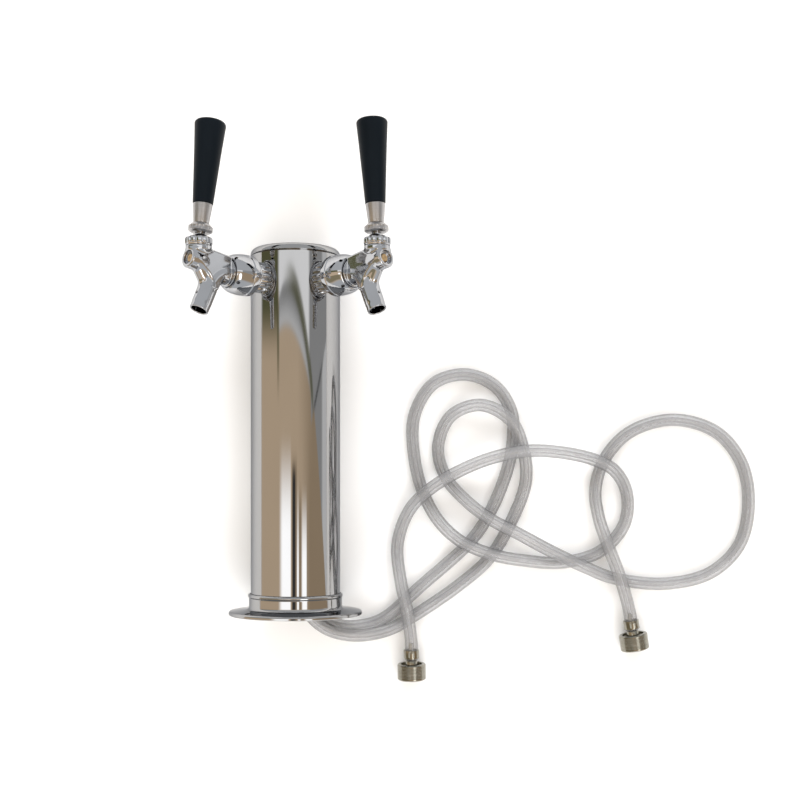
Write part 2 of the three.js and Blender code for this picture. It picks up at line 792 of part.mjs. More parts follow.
// Elbow tailpiece, its nut and its washer
function elbow() {
  const inward = alongShank(
    revolve(
      [
        [0, elbowOut],
        [elbowRadius, elbowOut],
        [elbowRadius, elbowBacking],
        [elbowFlange, elbowBacking],
        [elbowFlange, elbowFace],
        [0, elbowFace],
      ],
      12,
    ),
  );
  const corner = new THREE.SphereGeometry(elbowRadius, 12, 8).translate(0, 0, elbowOut);
  const leg = rod(elbowRadius, -elbowDrop, 0, 12).translate(0, 0, elbowOut);
  const stem = revolve(barb(0), 12).translate(0, -elbowDrop, elbowOut);
  const across = alongShank(rod(elbowBore, elbowOut, elbowFace + overrun, 12));
  const down = rod(elbowBore, -elbowDrop - barbLength - overrun, 0, 12).translate(0, 0, elbowOut);
  const turn = new THREE.SphereGeometry(elbowBore, 12, 8).translate(0, 0, elbowOut);
  return shape(inward, { add: [corner, leg, stem], cut: [across, down, turn] });
}

function tailNut() {
  const end = shankInside + tailNutGrip;
  const hexagon = alongShank(rod(tailNutRadius, tailNutEnd, end, 6));
  const through = alongShank(rod(elbowRadius + gap, tailNutEnd - overrun, end, 14));
  const cavity = alongShank(rod(holeRadius, elbowBacking - gap, end + overrun, 20));
  return shape(hexagon, { cut: [through, cavity] });
}

const tailWasher = () => alongShank(ring(shankBore, elbowFlange, washerBack, shankInside - gap, 16));

// Ear clamp round a hose whose end is at height 0 and which runs upwards, for dir 1, or downwards
function hoseClamp(dir) {
  const near = dir * clampFromEnd;
  const far = dir * (clampFromEnd + clampLength);
  const low = Math.min(near, far);
  const high = Math.max(near, far);
  const inner = hoseRadius + gap;
  const outer = inner + clampBand;
  const inset = clampLength / 6;
  const ear = block(
    [-clampEarWidth / 2, clampEarWidth / 2],
    [low + inset, high - inset],
    [inner + clampBand / 2, outer + clampEarHeight],
  );
  return shape(ring(inner, outer, low, high, 20), { add: [ear] });
}

// One faucet with everything on its shank
function addTap(side) {
  const lean = leverLean[side];
  const tap = new THREE.Group();
  tap.position.set(0, shankY, 0);
  tap.rotation.y = (side === 'left' ? -1 : 1) * tapAngle * DEGREE;
  tower.add(tap);
  addPiece(tap, side + '_shank', shank(), nickel);
  addPiece(tap, side + '_shank_collar', shankCollar(), chrome);
  addPiece(tap, side + '_shank_saddle', shankSaddle(), blackPlastic);
  addPiece(tap, side + '_shank_locknut', shankLocknut(), nickel);
  addPiece(tap, side + '_coupling_nut', couplingNut(), chrome);
  addPiece(tap, side + '_coupling_gasket', couplingGasket(), rubber);
  addPiece(tap, side + '_faucet_body', faucetBody(), chrome);
  addPiece(tap, side + '_valve_shaft', valveShaft(lean), brass);
  addPiece(tap, side + '_seat_washer', seatWasher(), rubber);
  addPiece(tap, side + '_shaft_nut', shaftNut(), brass);
  addPiece(tap, side + '_bonnet', bonnet(lean), chrome);
  addPiece(tap, side + '_friction_washer', frictionWasher(), nylon);
  addPiece(tap, side + '_elbow_tailpiece', elbow(), nickel);
  addPiece(tap, side + '_tail_nut', tailNut(), nickel);
  addPiece(tap, side + '_tail_washer', tailWasher(), rubber);
  const hoseEnd = -elbowDrop - gap;
  addPiece(tap, side + '_inner_clamp', hoseClamp(-1).translate(0, hoseEnd, elbowOut), satin);

  const handle = new THREE.Group();
  handle.position.set(0, pivotRise, pivotOut);
  handle.rotation.x = -lean * DEGREE;
  tap.add(handle);
  addPiece(handle, side + '_lever', lever(), chrome);
  addPiece(handle, side + '_lever_locknut', leverLocknut(), satin);
  addPiece(handle, side + '_handle_ferrule', handleFerrule(), satin);
  addPiece(handle, side + '_handle_grip', handleGrip(), blackPlastic);
}

// Swivel connector, in a frame whose +Y runs up the hose and whose origin is the nut's back face
function connectorFrame(side) {
  const turn = connectorTurn[side] * DEGREE;
  const open = new THREE.Vector3(Math.sin(turn), -Math.cos(turn), -surfaceSlope * Math.cos(turn)).normalize();
  const [x, y] = connectorPlace[side];
  const centre = new THREE.Vector3(x, y, surfaceAt(y) + connectorRadius);
  const back = centre.addScaledVector(open, -connectorLength / 2);
  return { open, back };
}

function connectorNut() {
  const wallEnd = -connectorRecessDepth - connectorWall;
  const hole = connectorNeck + gap;
  return revolve(
    [
      [connectorRecess, 0],
      [connectorRadius - connectorEdge, 0],
      [connectorRadius, -connectorEdge],
      [connectorRadius, -connectorLength + connectorEdge],
      [connectorRadius - connectorEdge, -connectorLength],
      [connectorCavity, -connectorLength],
      [connectorCavity, wallEnd],
      [hole, wallEnd],
      [hole, -connectorRecessDepth],
      [connectorRecess, -connectorRecessDepth],
    ],
    32,
  );
}

const flangeBack = -connectorRecessDepth - connectorWall - gap;
const flangeFront = flangeBack - connectorFlangeThickness;

function connectorTailpiece() {
  const turned = revolve(
    [
      [0, connectorStandoff],
      [connectorNeck - gap, connectorStandoff],
      [connectorNeck, connectorStandoff - gap],
      [connectorNeck, flangeBack],
      [connectorFlange, flangeBack],
      [connectorFlange, flangeFront],
      [0, flangeFront],
    ],
    20,
  );
  const stem = revolve(barb(0), 12).rotateX(Math.PI).translate(0, connectorStandoff, 0);
  const bore = rod(elbowBore, flangeFront - overrun, connectorStandoff + barbLength + overrun, 12);
  return shape(turned, { add: [stem], cut: [bore] });
}

const connectorWasher = () =>
  ring(connectorWasherBore, connectorFlange, flangeFront - gap - connectorWasherThickness, flangeFront - gap, 16);

function addConnector(side) {
  const { open, back } = connectorFrame(side);
  const end = new THREE.Group();
  end.position.copy(back);
  end.quaternion.setFromUnitVectors(new THREE.Vector3(0, -1, 0), open);
  tower.add(end);
  addPiece(end, side + '_connector_nut', connectorNut(), nickel);
  addPiece(end, side + '_connector_tailpiece', connectorTailpiece(), nickel);
  addPiece(end, side + '_connector_washer', connectorWasher(), rubber);
  addPiece(end, side + '_line_clamp', hoseClamp(1).translate(0, connectorStandoff + gap, 0), satin);
}

// Beer line: one hose from the elbow's barb, out of the flange and over the surface to its connector
function beerLine(side) {
  const across = (side === 'left' ? -1 : 1) * elbowOut * Math.sin(tapAngle * DEGREE);
  const forward = elbowOut * Math.cos(tapAngle * DEGREE);
  const top = shankY - elbowDrop - gap;
  const { open, back } = connectorFrame(side);
  const end = back.clone().addScaledVector(open, -connectorStandoff - gap);
  const points = [
    new THREE.Vector3(across, top, forward),
    new THREE.Vector3(across, top - straightEnd, forward),
    ...routeInside[side].map(([x, y, z]) => new THREE.Vector3(x, y, z)),
    ...routeOnSurface[side].map(
      ([x, y, layer]) => new THREE.Vector3(x, y, surfaceAt(y) + hoseRadius + hoseLift + layer * layerRise),
    ),
    end.clone().addScaledVector(open, -straightEnd),
    end,
  ];
  const path = new THREE.CatmullRomCurve3(points);
  const pocket = (at, away) => {
    const hole = rod(hosePocket, -overrun, barbLength + gap, 12);
    const turn = new THREE.Quaternion().setFromUnitVectors(new THREE.Vector3(0, 1, 0), away);
    return hole.applyQuaternion(turn).translate(at.x, at.y, at.z);
  };
  const tube = sweep(path, hoseRadius, hoseSides, hoseSteps);
  const pockets = [pocket(points[0], new THREE.Vector3(0, -1, 0)), pocket(end, open.clone().negate())];
  console.log(side + ' beer line length ' + path.getLength().toFixed(0) + ' mm');
  return shape(tube, { cut: pockets });
}

for (const side of ['left', 'right']) {
  addTap(side);
  addPiece(tower, side + '_beer_line', beerLine(side), vinyl);
  addConnector(side);
}

// Lying down, the tower rests on the flange's rim and the cap's back edge. The origin is
// on that plane, halfway along the tower.
const surfaceTilt = Math.atan(surfaceSlope);
const towerLength = shankY + pivotRise + ferruleTop + gap + gripLength;
tower.rotation.x = -surfaceTilt;
tower.position.y = -towerLength / 2;
tower.position.z = flangeRadius * Math.cos(surfaceTilt) + (flangeRim / 2) * Math.sin(surfaceTilt);

const assembly = new THREE.Group();
assembly.add(tower);

export default assembly;
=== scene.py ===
# %% [markdown]
# # A beer tower laid on a white table
# This lesson builds the look of a draft beer tower: a mirror-polished column on a flange,
# two chrome faucets with black handles, and two clear hoses that end in swivel nuts.
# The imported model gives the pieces, their places and their joints. Everything here is
# made in millimetres in the tower's own frame, then laid down with one matrix.

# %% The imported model
from math import atan, cos, degrees, hypot, radians, sin, tan, tau

import bmesh
import bpy
import numpy as np
from mathutils import Matrix, Vector


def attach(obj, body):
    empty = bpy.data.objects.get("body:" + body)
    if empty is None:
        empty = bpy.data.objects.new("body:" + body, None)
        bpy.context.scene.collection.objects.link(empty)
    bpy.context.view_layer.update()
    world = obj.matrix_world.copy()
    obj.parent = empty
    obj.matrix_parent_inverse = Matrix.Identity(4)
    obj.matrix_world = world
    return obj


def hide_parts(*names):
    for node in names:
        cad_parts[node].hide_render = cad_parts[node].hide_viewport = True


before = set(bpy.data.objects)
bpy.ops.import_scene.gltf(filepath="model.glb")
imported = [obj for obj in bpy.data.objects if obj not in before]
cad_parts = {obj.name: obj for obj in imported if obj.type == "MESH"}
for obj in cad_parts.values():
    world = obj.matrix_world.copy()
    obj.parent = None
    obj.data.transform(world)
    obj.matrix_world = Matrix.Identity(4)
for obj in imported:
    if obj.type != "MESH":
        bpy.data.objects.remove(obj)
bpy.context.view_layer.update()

# %% [markdown]
# The tower lies on its back, because its hoses lie flat behind it in the picture. The
# flange is wider than the column, so the lying column slopes by a few degrees. In the
# tower's own frame +Y runs up the column from the flange and +Z points between the
# faucets. One matrix turns that frame down onto the table, and smaller ones hold the
# frames of a faucet, its valve and its handle.

# %% Frames
MM = 0.001
COLUMN_R, CAP_JOINT, CAP_RISE, CAP_CORNER = 38.1, 304.8, 6.0, 5.0
FLANGE_R, FLANGE_RIM = 56.8, 3.5
SHANK_Y, TAP_ANGLE = 282.5, 45.0
PIVOT_OUT, PIVOT_UP = 100.5, 17.0
HANDLE_TOP = 103.0
VALVE_TILT, VALVE_UP = 10.0, 6.15
SPOUT_TILT, SPOUT_DROP = 25.0, 33.0
LEAN = {"left": 6.5, "right": 3.5}
SIDES = {"left": -1, "right": 1}

slope = (FLANGE_R - COLUMN_R) / (CAP_JOINT + CAP_RISE - CAP_CORNER - FLANGE_RIM / 2)
tilt = atan(slope)
half_length = (SHANK_Y + PIVOT_UP + HANDLE_TOP) / 2
rest_height = FLANGE_R * cos(tilt) + FLANGE_RIM / 2 * sin(tilt)


def turn(angle, axis):
    return Matrix.Rotation(radians(angle), 4, axis)


def shift(x, y, z):
    return Matrix.Translation((x, y, z))


LAID = shift(0, -half_length * MM, rest_height * MM) @ turn(-degrees(tilt), "X") @ Matrix.Scale(MM, 4)
ALONG_SHANK = turn(90, "X")
ALONG_VALVE = shift(0, VALVE_UP, PIVOT_OUT) @ turn(90 - VALVE_TILT, "X")
ABOUT_PIVOT = shift(0, PIVOT_UP, PIVOT_OUT)
TAP = {side: LAID @ shift(0, SHANK_Y, 0) @ turn(sign * TAP_ANGLE, "Y") for side, sign in SIDES.items()}
HANDLE = {side: TAP[side] @ ABOUT_PIVOT @ turn(-LEAN[side], "X") for side in SIDES}


def surface(y):
    """The table's height under the lying tower, in the tower's own frame."""
    return slope * (y - FLANGE_RIM / 2) - FLANGE_R


def new_object(name, data):
    obj = bpy.data.objects.new(name, data)
    bpy.context.collection.objects.link(obj)
    return obj


print("the column slopes by", round(degrees(tilt), 2), "degrees")

# %% [markdown]
# The camera looks straight along the tower's own Z axis, from 1.05 m, a little to the
# right of the column. A long lens, shifted so that its axis falls low in the picture,
# gives the photograph's view without leaning lines.

# %% Camera
CAMERA_AT = (89.2, 110.2, 1050)
camera_data = bpy.data.cameras.new("photo_camera")
camera = new_object("photo_camera", camera_data)
camera.location = (LAID @ Vector(CAMERA_AT))[:]
camera.rotation_euler = (-tilt, 0, 0)
camera_data.sensor_width = 36
camera_data.lens = 55.33
camera_data.shift_y = 0.10625
camera_data.clip_start = 0.01
camera_data.clip_end = 20
bpy.context.scene.camera = camera

# %% [markdown]
# Shader maths reads best as ordinary sums, so one small class wraps a node's socket and
# adds the Math node for each operator. A second one makes every other node. Both work in
# a material, in the world and in a Geometry Nodes tree.


# %% Sockets that add and multiply
class Signal:
    def __init__(self, graph, socket):
        self.graph = graph
        self.socket = socket

    def maths(self, operation, *values):
        return self.graph.add("ShaderNodeMath", dict(enumerate(values)), operation=operation)

    def __rsub__(self, other):
        return self.maths("SUBTRACT", other, self)


OPERATORS = {
    "add": "ADD", "radd": "ADD", "sub": "SUBTRACT", "mul": "MULTIPLY", "rmul": "MULTIPLY",
    "truediv": "DIVIDE", "pow": "POWER", "gt": "GREATER_THAN", "lt": "LESS_THAN", "abs": "ABSOLUTE",
}
for method, operation in OPERATORS.items():
    setattr(Signal, f"__{method}__", lambda self, *other, sign=operation: self.maths(sign, self, *other))


class Graph:
    def __init__(self, tree):
        self.tree = tree

    def add(self, kind, values=None, out=0, stops=(), **settings):
        node = self.tree.nodes.new(kind)
        for key, value in settings.items():
            setattr(node, key, value)
        if stops:
            elements = node.color_ramp.elements
            while len(elements) < len(stops):
                elements.new(0.5)
            for element, (place, colour) in zip(elements, stops):
                element.position = place
                element.color = (*colour, 1)
        for key, value in (values or {}).items():
            if isinstance(value, Signal):
                self.tree.links.new(value.socket, node.inputs[key])
            else:
                node.inputs[key].default_value = value
        return Signal(self, node.outputs[out])

    def split(self, vector):
        first = self.add("ShaderNodeSeparateXYZ", {0: vector})
        return [Signal(self, socket) for socket in first.socket.node.outputs]

    def end(self, kind, result):
        self.tree.links.new(result.socket, self.tree.nodes.new(kind).inputs[0])


# %% [markdown]
# Two Geometry Nodes trees make the shapes, a lathe and a sweep. Both take a mesh, some
# numbers and a material, so they open and close alike.


# %% Geometry trees
def new_tree(name, **inputs):
    """The graph of a new tree, and what it is given."""
    graph = Graph(bpy.data.node_groups.new(name, "GeometryNodeTree"))
    face = graph.tree.interface
    face.new_socket("mesh", in_out="INPUT", socket_type="NodeSocketGeometry")
    for label, value in inputs.items():
        kind = "NodeSocketInt" if isinstance(value, int) else "NodeSocketFloat"
        face.new_socket(label, in_out="INPUT", socket_type=kind).default_value = value
    face.new_socket("material", in_out="INPUT", socket_type="NodeSocketMaterial")
    face.new_socket("mesh", in_out="OUTPUT", socket_type="NodeSocketGeometry")
    entry = graph.tree.nodes.new("NodeGroupInput")
    return graph, {socket.name: Signal(graph, socket) for socket in entry.outputs if socket.name}


def stored(graph, shell, name, value, kind="FLOAT_VECTOR"):
    values = {"Geometry": shell, "Name": name, "Value": value}
    return graph.add("GeometryNodeStoreNamedAttribute", values, data_type=kind, domain="POINT")


def close_tree(graph, shell, material):
    shell = graph.add("GeometryNodeRealizeInstances", {"Geometry": shell})
    shell = graph.add("GeometryNodeSetMaterial", {"Geometry": shell, "Material": material})
    graph.end("NodeGroupOutput", shell)


def run_tree(obj, graph, **inputs):
    modifier = obj.modifiers.new("tree", "NODES")
    modifier.node_group = graph.tree
    for item in graph.tree.interface.items_tree:
        if item.in_out == "INPUT" and item.name in inputs:
            value = inputs[item.name]
            modifier[item.identifier] = float(value) if item.socket_type == "NodeSocketFloat" else value


# %% [markdown]
# Nearly every piece of a beer tower is turned on a lathe, so one tree turns them all. It
# takes an outline of points, radius across and height up, as the object's own vertices.
# It makes a grid, reads one outline point for each row, and wraps the columns round Y.
# Flutes pull the outer wall in with a power of a cosine of the angle, which leaves round
# ridges with narrow grooves. Each point keeps its place on the lathe, for marks that run
# round the piece.

# %% The lathe
FLUTE_POWER = 2.8
LATHE, given = new_tree("turned piece", sides=96, flutes=0, depth=0.0, low=0.0, high=0.0, inside=0.0)
count = LATHE.add("GeometryNodeAttributeDomainSize", {"Geometry": given["mesh"]}, component="MESH")
grid = LATHE.add(
    "GeometryNodeMeshGrid", {"Size X": 1.0, "Size Y": 1.0, "Vertices X": given["sides"] + 1, "Vertices Y": count}
)
place = LATHE.add("GeometryNodeInputPosition")
across, along, _ = LATHE.split(place)
row = (along + 0.5) * (count - 1)
sample = {"Geometry": given["mesh"], "Value": place, "Index": row.maths("ROUND", row)}
sample = LATHE.add("GeometryNodeSampleIndex", sample, data_type="FLOAT_VECTOR", domain="POINT")
radius, height, _ = LATHE.split(sample)
angle = (across + 0.5) * tau
wave = (0.5 - 0.5 * angle.maths("COSINE", angle * given["flutes"])) ** FLUTE_POWER
fluted = (height > given["low"]) * (height < given["high"]) * (radius > given["inside"])
radius = radius - wave * fluted * given["depth"]
wrapped = {0: radius * angle.maths("SINE", angle), 1: height, 2: radius * angle.maths("COSINE", angle)}
wrapped = LATHE.add("ShaderNodeCombineXYZ", wrapped)
shell = LATHE.add("GeometryNodeSetPosition", {"Geometry": grid, "Position": wrapped})
shell = LATHE.add("GeometryNodeMergeByDistance", {"Geometry": shell, "Distance": 0.0005})
shell = stored(LATHE, shell, "lathe", LATHE.add("GeometryNodeInputPosition"))
close_tree(LATHE, shell, given["material"])
print("lathe inputs", list(given))


# %% [markdown]
# A machined edge is never dead sharp, and on chrome its small round catches the light.
# This helper replaces each corner of an outline with a short curve.


# %% Outlines
def rounded(points, size, steps=3):
    """Rounds the corners of a closed outline, apart from those on the axis."""
    out = []
    for i, point in enumerate(points):
        here = np.array(point, float)
        before, after = [np.array(points[k % len(points)], float) - here for k in (i - 1, i + 1)]
        a, b = np.linalg.norm(before), np.linalg.norm(after)
        bend = abs(before[0] * after[1] - before[1] * after[0]) / max(a * b, 1e-9)
        if here[0] < 1e-6 or bend < 0.3:
            out.append(tuple(here))
            continue
        start = here + before / a * min(size, a * 0.4)
        end = here + after / b * min(size, b * 0.4)
        for t in np.linspace(0, 1, steps + 1):
            out.append(tuple((1 - t) ** 2 * start + 2 * t * (1 - t) * here + t**2 * end))
    return out


def arc(r, y, size, start, end, steps):
    """Points on a circle about (r, y), between two angles in degrees."""
    angles = np.radians(np.linspace(start, end, steps + 1))
    return [(r + size * cos(a), y + size * sin(a)) for a in angles]


def tube_outline(inner, outer, low, high):
    return [(inner, low), (outer, low), (outer, high), (inner, high)]


# %% [markdown]
# A finished piece is a plain mesh at the world's origin, with its place in its points, so
# that the joints can move it. These helpers make it so, give it its finish, hang it under
# its body and hide the solid that it stands for.


# %% Finishing a piece
def reworked(mesh, change=None):
    """Makes a change to the mesh in bmesh, then points its faces outwards."""
    work = bmesh.new()
    work.from_mesh(mesh)
    if change:
        change(work)
    bmesh.ops.recalc_face_normals(work, faces=work.faces)
    for cell in work.faces:
        cell.material_index = 0
    work.to_mesh(mesh)
    work.free()


def settle(obj, matrix, sharp=32, change=None):
    """Applies modifiers, a change and the place, and smooths all but the sharp edges."""
    graph = bpy.context.evaluated_depsgraph_get()
    mesh = bpy.data.meshes.new_from_object(obj.evaluated_get(graph))
    obj.modifiers.clear()
    obj.data = mesh
    kept = next((material for material in mesh.materials if material), None)
    mesh.materials.clear()
    mesh.materials.append(kept)
    reworked(mesh, change)
    mesh.transform(matrix)
    mesh.polygons.foreach_set("use_smooth", [True] * len(mesh.polygons))
    mesh.set_sharp_from_angle(angle=radians(sharp))
    mesh.update()
    return obj


def belongs(obj, body, node):
    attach(obj, body)
    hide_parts(node)
    return obj


def lathe(name, outline, sides=96, closed=True, material=None, **flutes):
    """An object whose modifier turns the outline."""
    points = list(outline) + ([outline[0]] if closed else [])
    mesh = bpy.data.meshes.new(name)
    mesh.from_pydata([(r, y, 0) for r, y in points], [], [])
    obj = new_object(name, mesh)
    run_tree(obj, LATHE, sides=sides, material=material, **flutes)
    return obj


def rod_mesh(radius, low, high, matrix, sides=32):
    """A rod along Y, as a mesh to cut with."""
    tool = settle(lathe("rod", [(0, low), (radius, low), (radius, high), (0, high)], sides, closed=False), matrix)
    mesh = tool.data
    bpy.data.objects.remove(tool)
    return mesh


def box_mesh(name, low, high):
    mesh = bpy.data.meshes.new(name)
    corners = [(x, y, z) for x in (low[0], high[0]) for y in (low[1], high[1]) for z in (low[2], high[2])]
    sides = [(0, 1, 3, 2), (4, 6, 7, 5), (0, 4, 5, 1), (2, 3, 7, 6), (0, 2, 6, 4), (1, 5, 7, 3)]
    mesh.from_pydata(corners, [], sides)
    return mesh


def turned(side, name, node, outline, matrix, slot, body="tower", sharp=32, cutters=(), material=None, **shape):
    """A whole piece: turned, cut by meshes in its own frame, put in place, hung under its body and its solid hidden.
    """
    mark = side and side + "_"
    obj = lathe(mark + name, outline, material=material or FINISHES[slot], **shape)
    tools = [new_object("cutter", cutter) for cutter in cutters]
    for tool in tools:
        cut = obj.modifiers.new("cut", "BOOLEAN")
        cut.object, cut.operation, cut.solver = tool, "DIFFERENCE", "EXACT"
    settle(obj, matrix, sharp)
    for tool in tools:
        bpy.data.objects.remove(tool)
    return belongs(obj, body if body == "tower" else mark + body, mark + node)


# %% [markdown]
# ## Finishes
# The tower is nearly all metal, so the finishes differ by how rough they are and by the
# marks that polishing, plating and turning leave. Every pattern comes from the object's
# coordinates, or from a place that one of the trees kept on the points.


# %% A finish
def finish(name, build, **sockets):
    """A material with one Principled shader. build returns what varies, and sockets holds what doesn't."""
    material = bpy.data.materials.new(name)
    material.use_nodes = True
    material.node_tree.nodes.clear()
    graph = Graph(material.node_tree)
    values = {key.replace("_", " "): value for key, value in sockets.items()}
    shader = graph.add("ShaderNodeBsdfPrincipled", values | build(graph))
    graph.end("ShaderNodeOutputMaterial", shader)
    return material


def noise(graph, scale, detail, stretch=(1, 1, 1), kept=None):
    """Noise over the object's coordinates, or over a place kept on the points, stretched."""
    if kept:
        place = graph.add("ShaderNodeAttribute", out="Vector", attribute_name=kept)
    else:
        place = graph.add("ShaderNodeTexCoord", out="Object")
    place = graph.add("ShaderNodeMapping", {"Vector": place, "Scale": stretch})
    return graph.add("ShaderNodeTexNoise", {"Vector": place, "Scale": scale, "Detail": detail})


def blend(graph, amount, low, high):
    low, high = [colour if isinstance(colour, Signal) else (*colour, 1) for colour in (low, high)]
    return graph.add("ShaderNodeMix", {0: amount, 6: low, 7: high}, out=2, data_type="RGBA")


def ramp(value, low, high, first=0.0, last=1.0):
    """Goes smoothly from first to last as the value goes from low to high."""
    values = {0: value, 1: low, 2: high, 3: first, 4: last}
    return value.graph.add("ShaderNodeMapRange", values, interpolation_type="SMOOTHSTEP")


def fall(value, low, high):
    return ramp(value, low, high, 1.0, 0.0)


def varied(graph, tone, low, high, roughness, relief, strength, distance):
    """What varies over a finish: a tone between two colours, the roughness and a fine relief."""
    bump = graph.add("ShaderNodeBump", {"Height": relief, "Strength": strength, "Distance": distance})
    return {"Base Color": blend(graph, tone, low, high), "Roughness": roughness, "Normal": bump}


# %% [markdown]
# Mirror-polished stainless steel has fine hair lines along its length and faint cloudy
# smears from handling. Chrome has the slight waviness of its plating. Seen edge on, both
# turn a little darker, by the metal's Specular Tint.


# %% Polished steel and chrome
def polished_look(graph):
    hair = noise(graph, 1.0, 2.0, (900, 14, 900))
    smear = noise(graph, 1.0, 4.0, (26, 9, 26))
    grain = hair * 0.018 + (smear**2) * 0.05
    return varied(graph, smear, (0.355, 0.355, 0.36), (0.40, 0.40, 0.40), grain + 0.018, hair, 0.05, 0.00002)


def chrome_look(graph, low=(0.42, 0.425, 0.44), high=(0.52, 0.53, 0.55)):
    orange_peel = noise(graph, 160.0, 2.0)
    haze = noise(graph, 42.0, 4.0)
    return varied(graph, haze, low, high, haze * 0.06 + 0.02, orange_peel, 0.06, 0.00015)


# Painted light: the collar is a lighter copy of the chrome, and its brighter base colour paints the collar lighter
# than the rest of the chrome.
def collar_painted_light_look(graph):
    return chrome_look(graph, (0.66, 0.67, 0.69), (0.78, 0.79, 0.81))


DARK_EDGE = (0.42, 0.43, 0.45, 1)
polished = finish("polished steel", polished_look, Metallic=1.0, Specular_Tint=DARK_EDGE)
chrome = finish("bright chrome", chrome_look, Metallic=1.0, Specular_Tint=DARK_EDGE)
# The collar's chrome is painted lighter than the other chrome.
collar_painted_light_chrome = finish("collar chrome", collar_painted_light_look, Metallic=1.0)

# %% [markdown]
# Turned parts that aren't polished keep the lathe's fine rings. Satin steel shows them as
# a brushed sheen, and the nickel-plated swivel nuts also carry a warm, brownish tarnish.


# %% Satin steel, nickel and brass
def ringed(graph, rings, wear):
    line = noise(graph, 1.0, 3.0, (0.03, rings, 0.03), "lathe")
    return line, noise(graph, wear, 4.0, (0.2, 0.2, 0.2), "lathe")


def satin_look(graph):
    line, stain = ringed(graph, 3.2, 1.0)
    roughness = line * 0.16 + stain * 0.08 + 0.2
    return varied(graph, line, (0.30, 0.295, 0.295), (0.50, 0.49, 0.49), roughness, line, 0.25, 0.00006)


def nickel_look(graph):
    line, stain = ringed(graph, 2.4, 1.6)
    tone, roughness = line * 0.45 + stain * 0.55, stain * 0.14 + line * 0.1 + 0.07
    return varied(graph, tone, (0.13, 0.12, 0.085), (0.40, 0.385, 0.34), roughness, line, 0.22, 0.00006)


def brass_look(graph):
    line, stain = ringed(graph, 2.0, 1.2)
    return varied(graph, stain, (0.30, 0.19, 0.10), (0.55, 0.40, 0.22), line * 0.15 + 0.22, line, 0.2, 0.00005)


satin = finish("satin steel", satin_look, Metallic=1.0)
nickel = finish("warm nickel", nickel_look, Metallic=1.0)
brass = finish("machined brass", brass_look, Metallic=1.0)

# %% [markdown]
# The handles are black plastic with a fine grain and a slight sheen. Washers are dull
# rubber, and the washer under the bonnet is natural nylon.


# %% Plastics and rubber
def handle_look(graph):
    grain = noise(graph, 2600.0, 2.0)
    rub = noise(graph, 1.0, 4.0, (60, 18, 60))
    return varied(graph, rub, (0.002, 0.004, 0.006), (0.005, 0.008, 0.012), rub * 0.16 + 0.34, grain, 0.18, 0.00008)


def rubber_look(graph):
    dust = noise(graph, 700.0, 5.0)
    return varied(graph, dust, (0.012, 0.012, 0.013), (0.05, 0.049, 0.047), dust * 0.2 + 0.6, dust, 0.3, 0.0001)


def nylon_look(graph):
    cloudy = noise(graph, 300.0, 3.0)
    tone = blend(graph, cloudy, (0.72, 0.70, 0.63), (0.85, 0.84, 0.79))
    return {"Base Color": tone, "Roughness": cloudy * 0.1 + 0.4}


handle_black = finish("black handle plastic", handle_look, Specular_IOR_Level=0.09)
rubber = finish("black rubber", rubber_look)
nylon = finish("natural nylon", nylon_look)


# %% [markdown]
# Clear vinyl hose is thick-walled and slightly milky. Its middle looks nearly clear and
# its edges grey. The grey edges are partly the milky wall seen along its length and partly
# painted shade: Layer Weight darkens the base colour towards the edges, in place of the
# darker surroundings that the wall refracts there. Streaks along the hose stand for the
# cloudy marks of real tubing.


# %% Clear vinyl
def vinyl_look(graph):
    edge = graph.add("ShaderNodeLayerWeight", {"Blend": 0.5}, out="Facing")
    milk = noise(graph, 55.0, 3.0)
    streak = noise(graph, 1.0, 2.0, (2.2, 2.2, 0.008), "hose_place")
    line = ramp(streak, 0.40, 0.62)
    # Painted shade: wall grows towards the hose's edges and darkens the base colour there.
    wall = edge**1.6
    tone = wall * 1.05 + milk * 0.1 + line * 0.22
    look = varied(graph, tone, (0.50, 0.50, 0.51), (0.05, 0.05, 0.055), streak * 0.12 + 0.06, streak, 0.2, 0.0004)
    return look | {"Alpha": wall * 0.7 + milk * 0.1 + line * 0.14 + 0.22}


vinyl = finish("clear vinyl", vinyl_look, IOR=1.5, Coat_Weight=0.4, Coat_Roughness=0.05)

FINISHES = {
    "polished_steel": polished, "chrome": chrome, "satin_steel": satin, "nickel": nickel, "brass": brass,
    "black_plastic": handle_black, "rubber": rubber,
}
HIDDEN = {
    "seat_washer": rubber, "coupling_gasket": rubber, "tail_washer": rubber, "friction_washer": nylon,
    "shank_saddle": handle_black, "shaft_nut": brass,
}
for name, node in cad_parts.items():
    for slot in node.material_slots:
        slot.material = HIDDEN.get(name.removeprefix("left_").removeprefix("right_"), nickel)
print("finishes", len(bpy.data.materials))
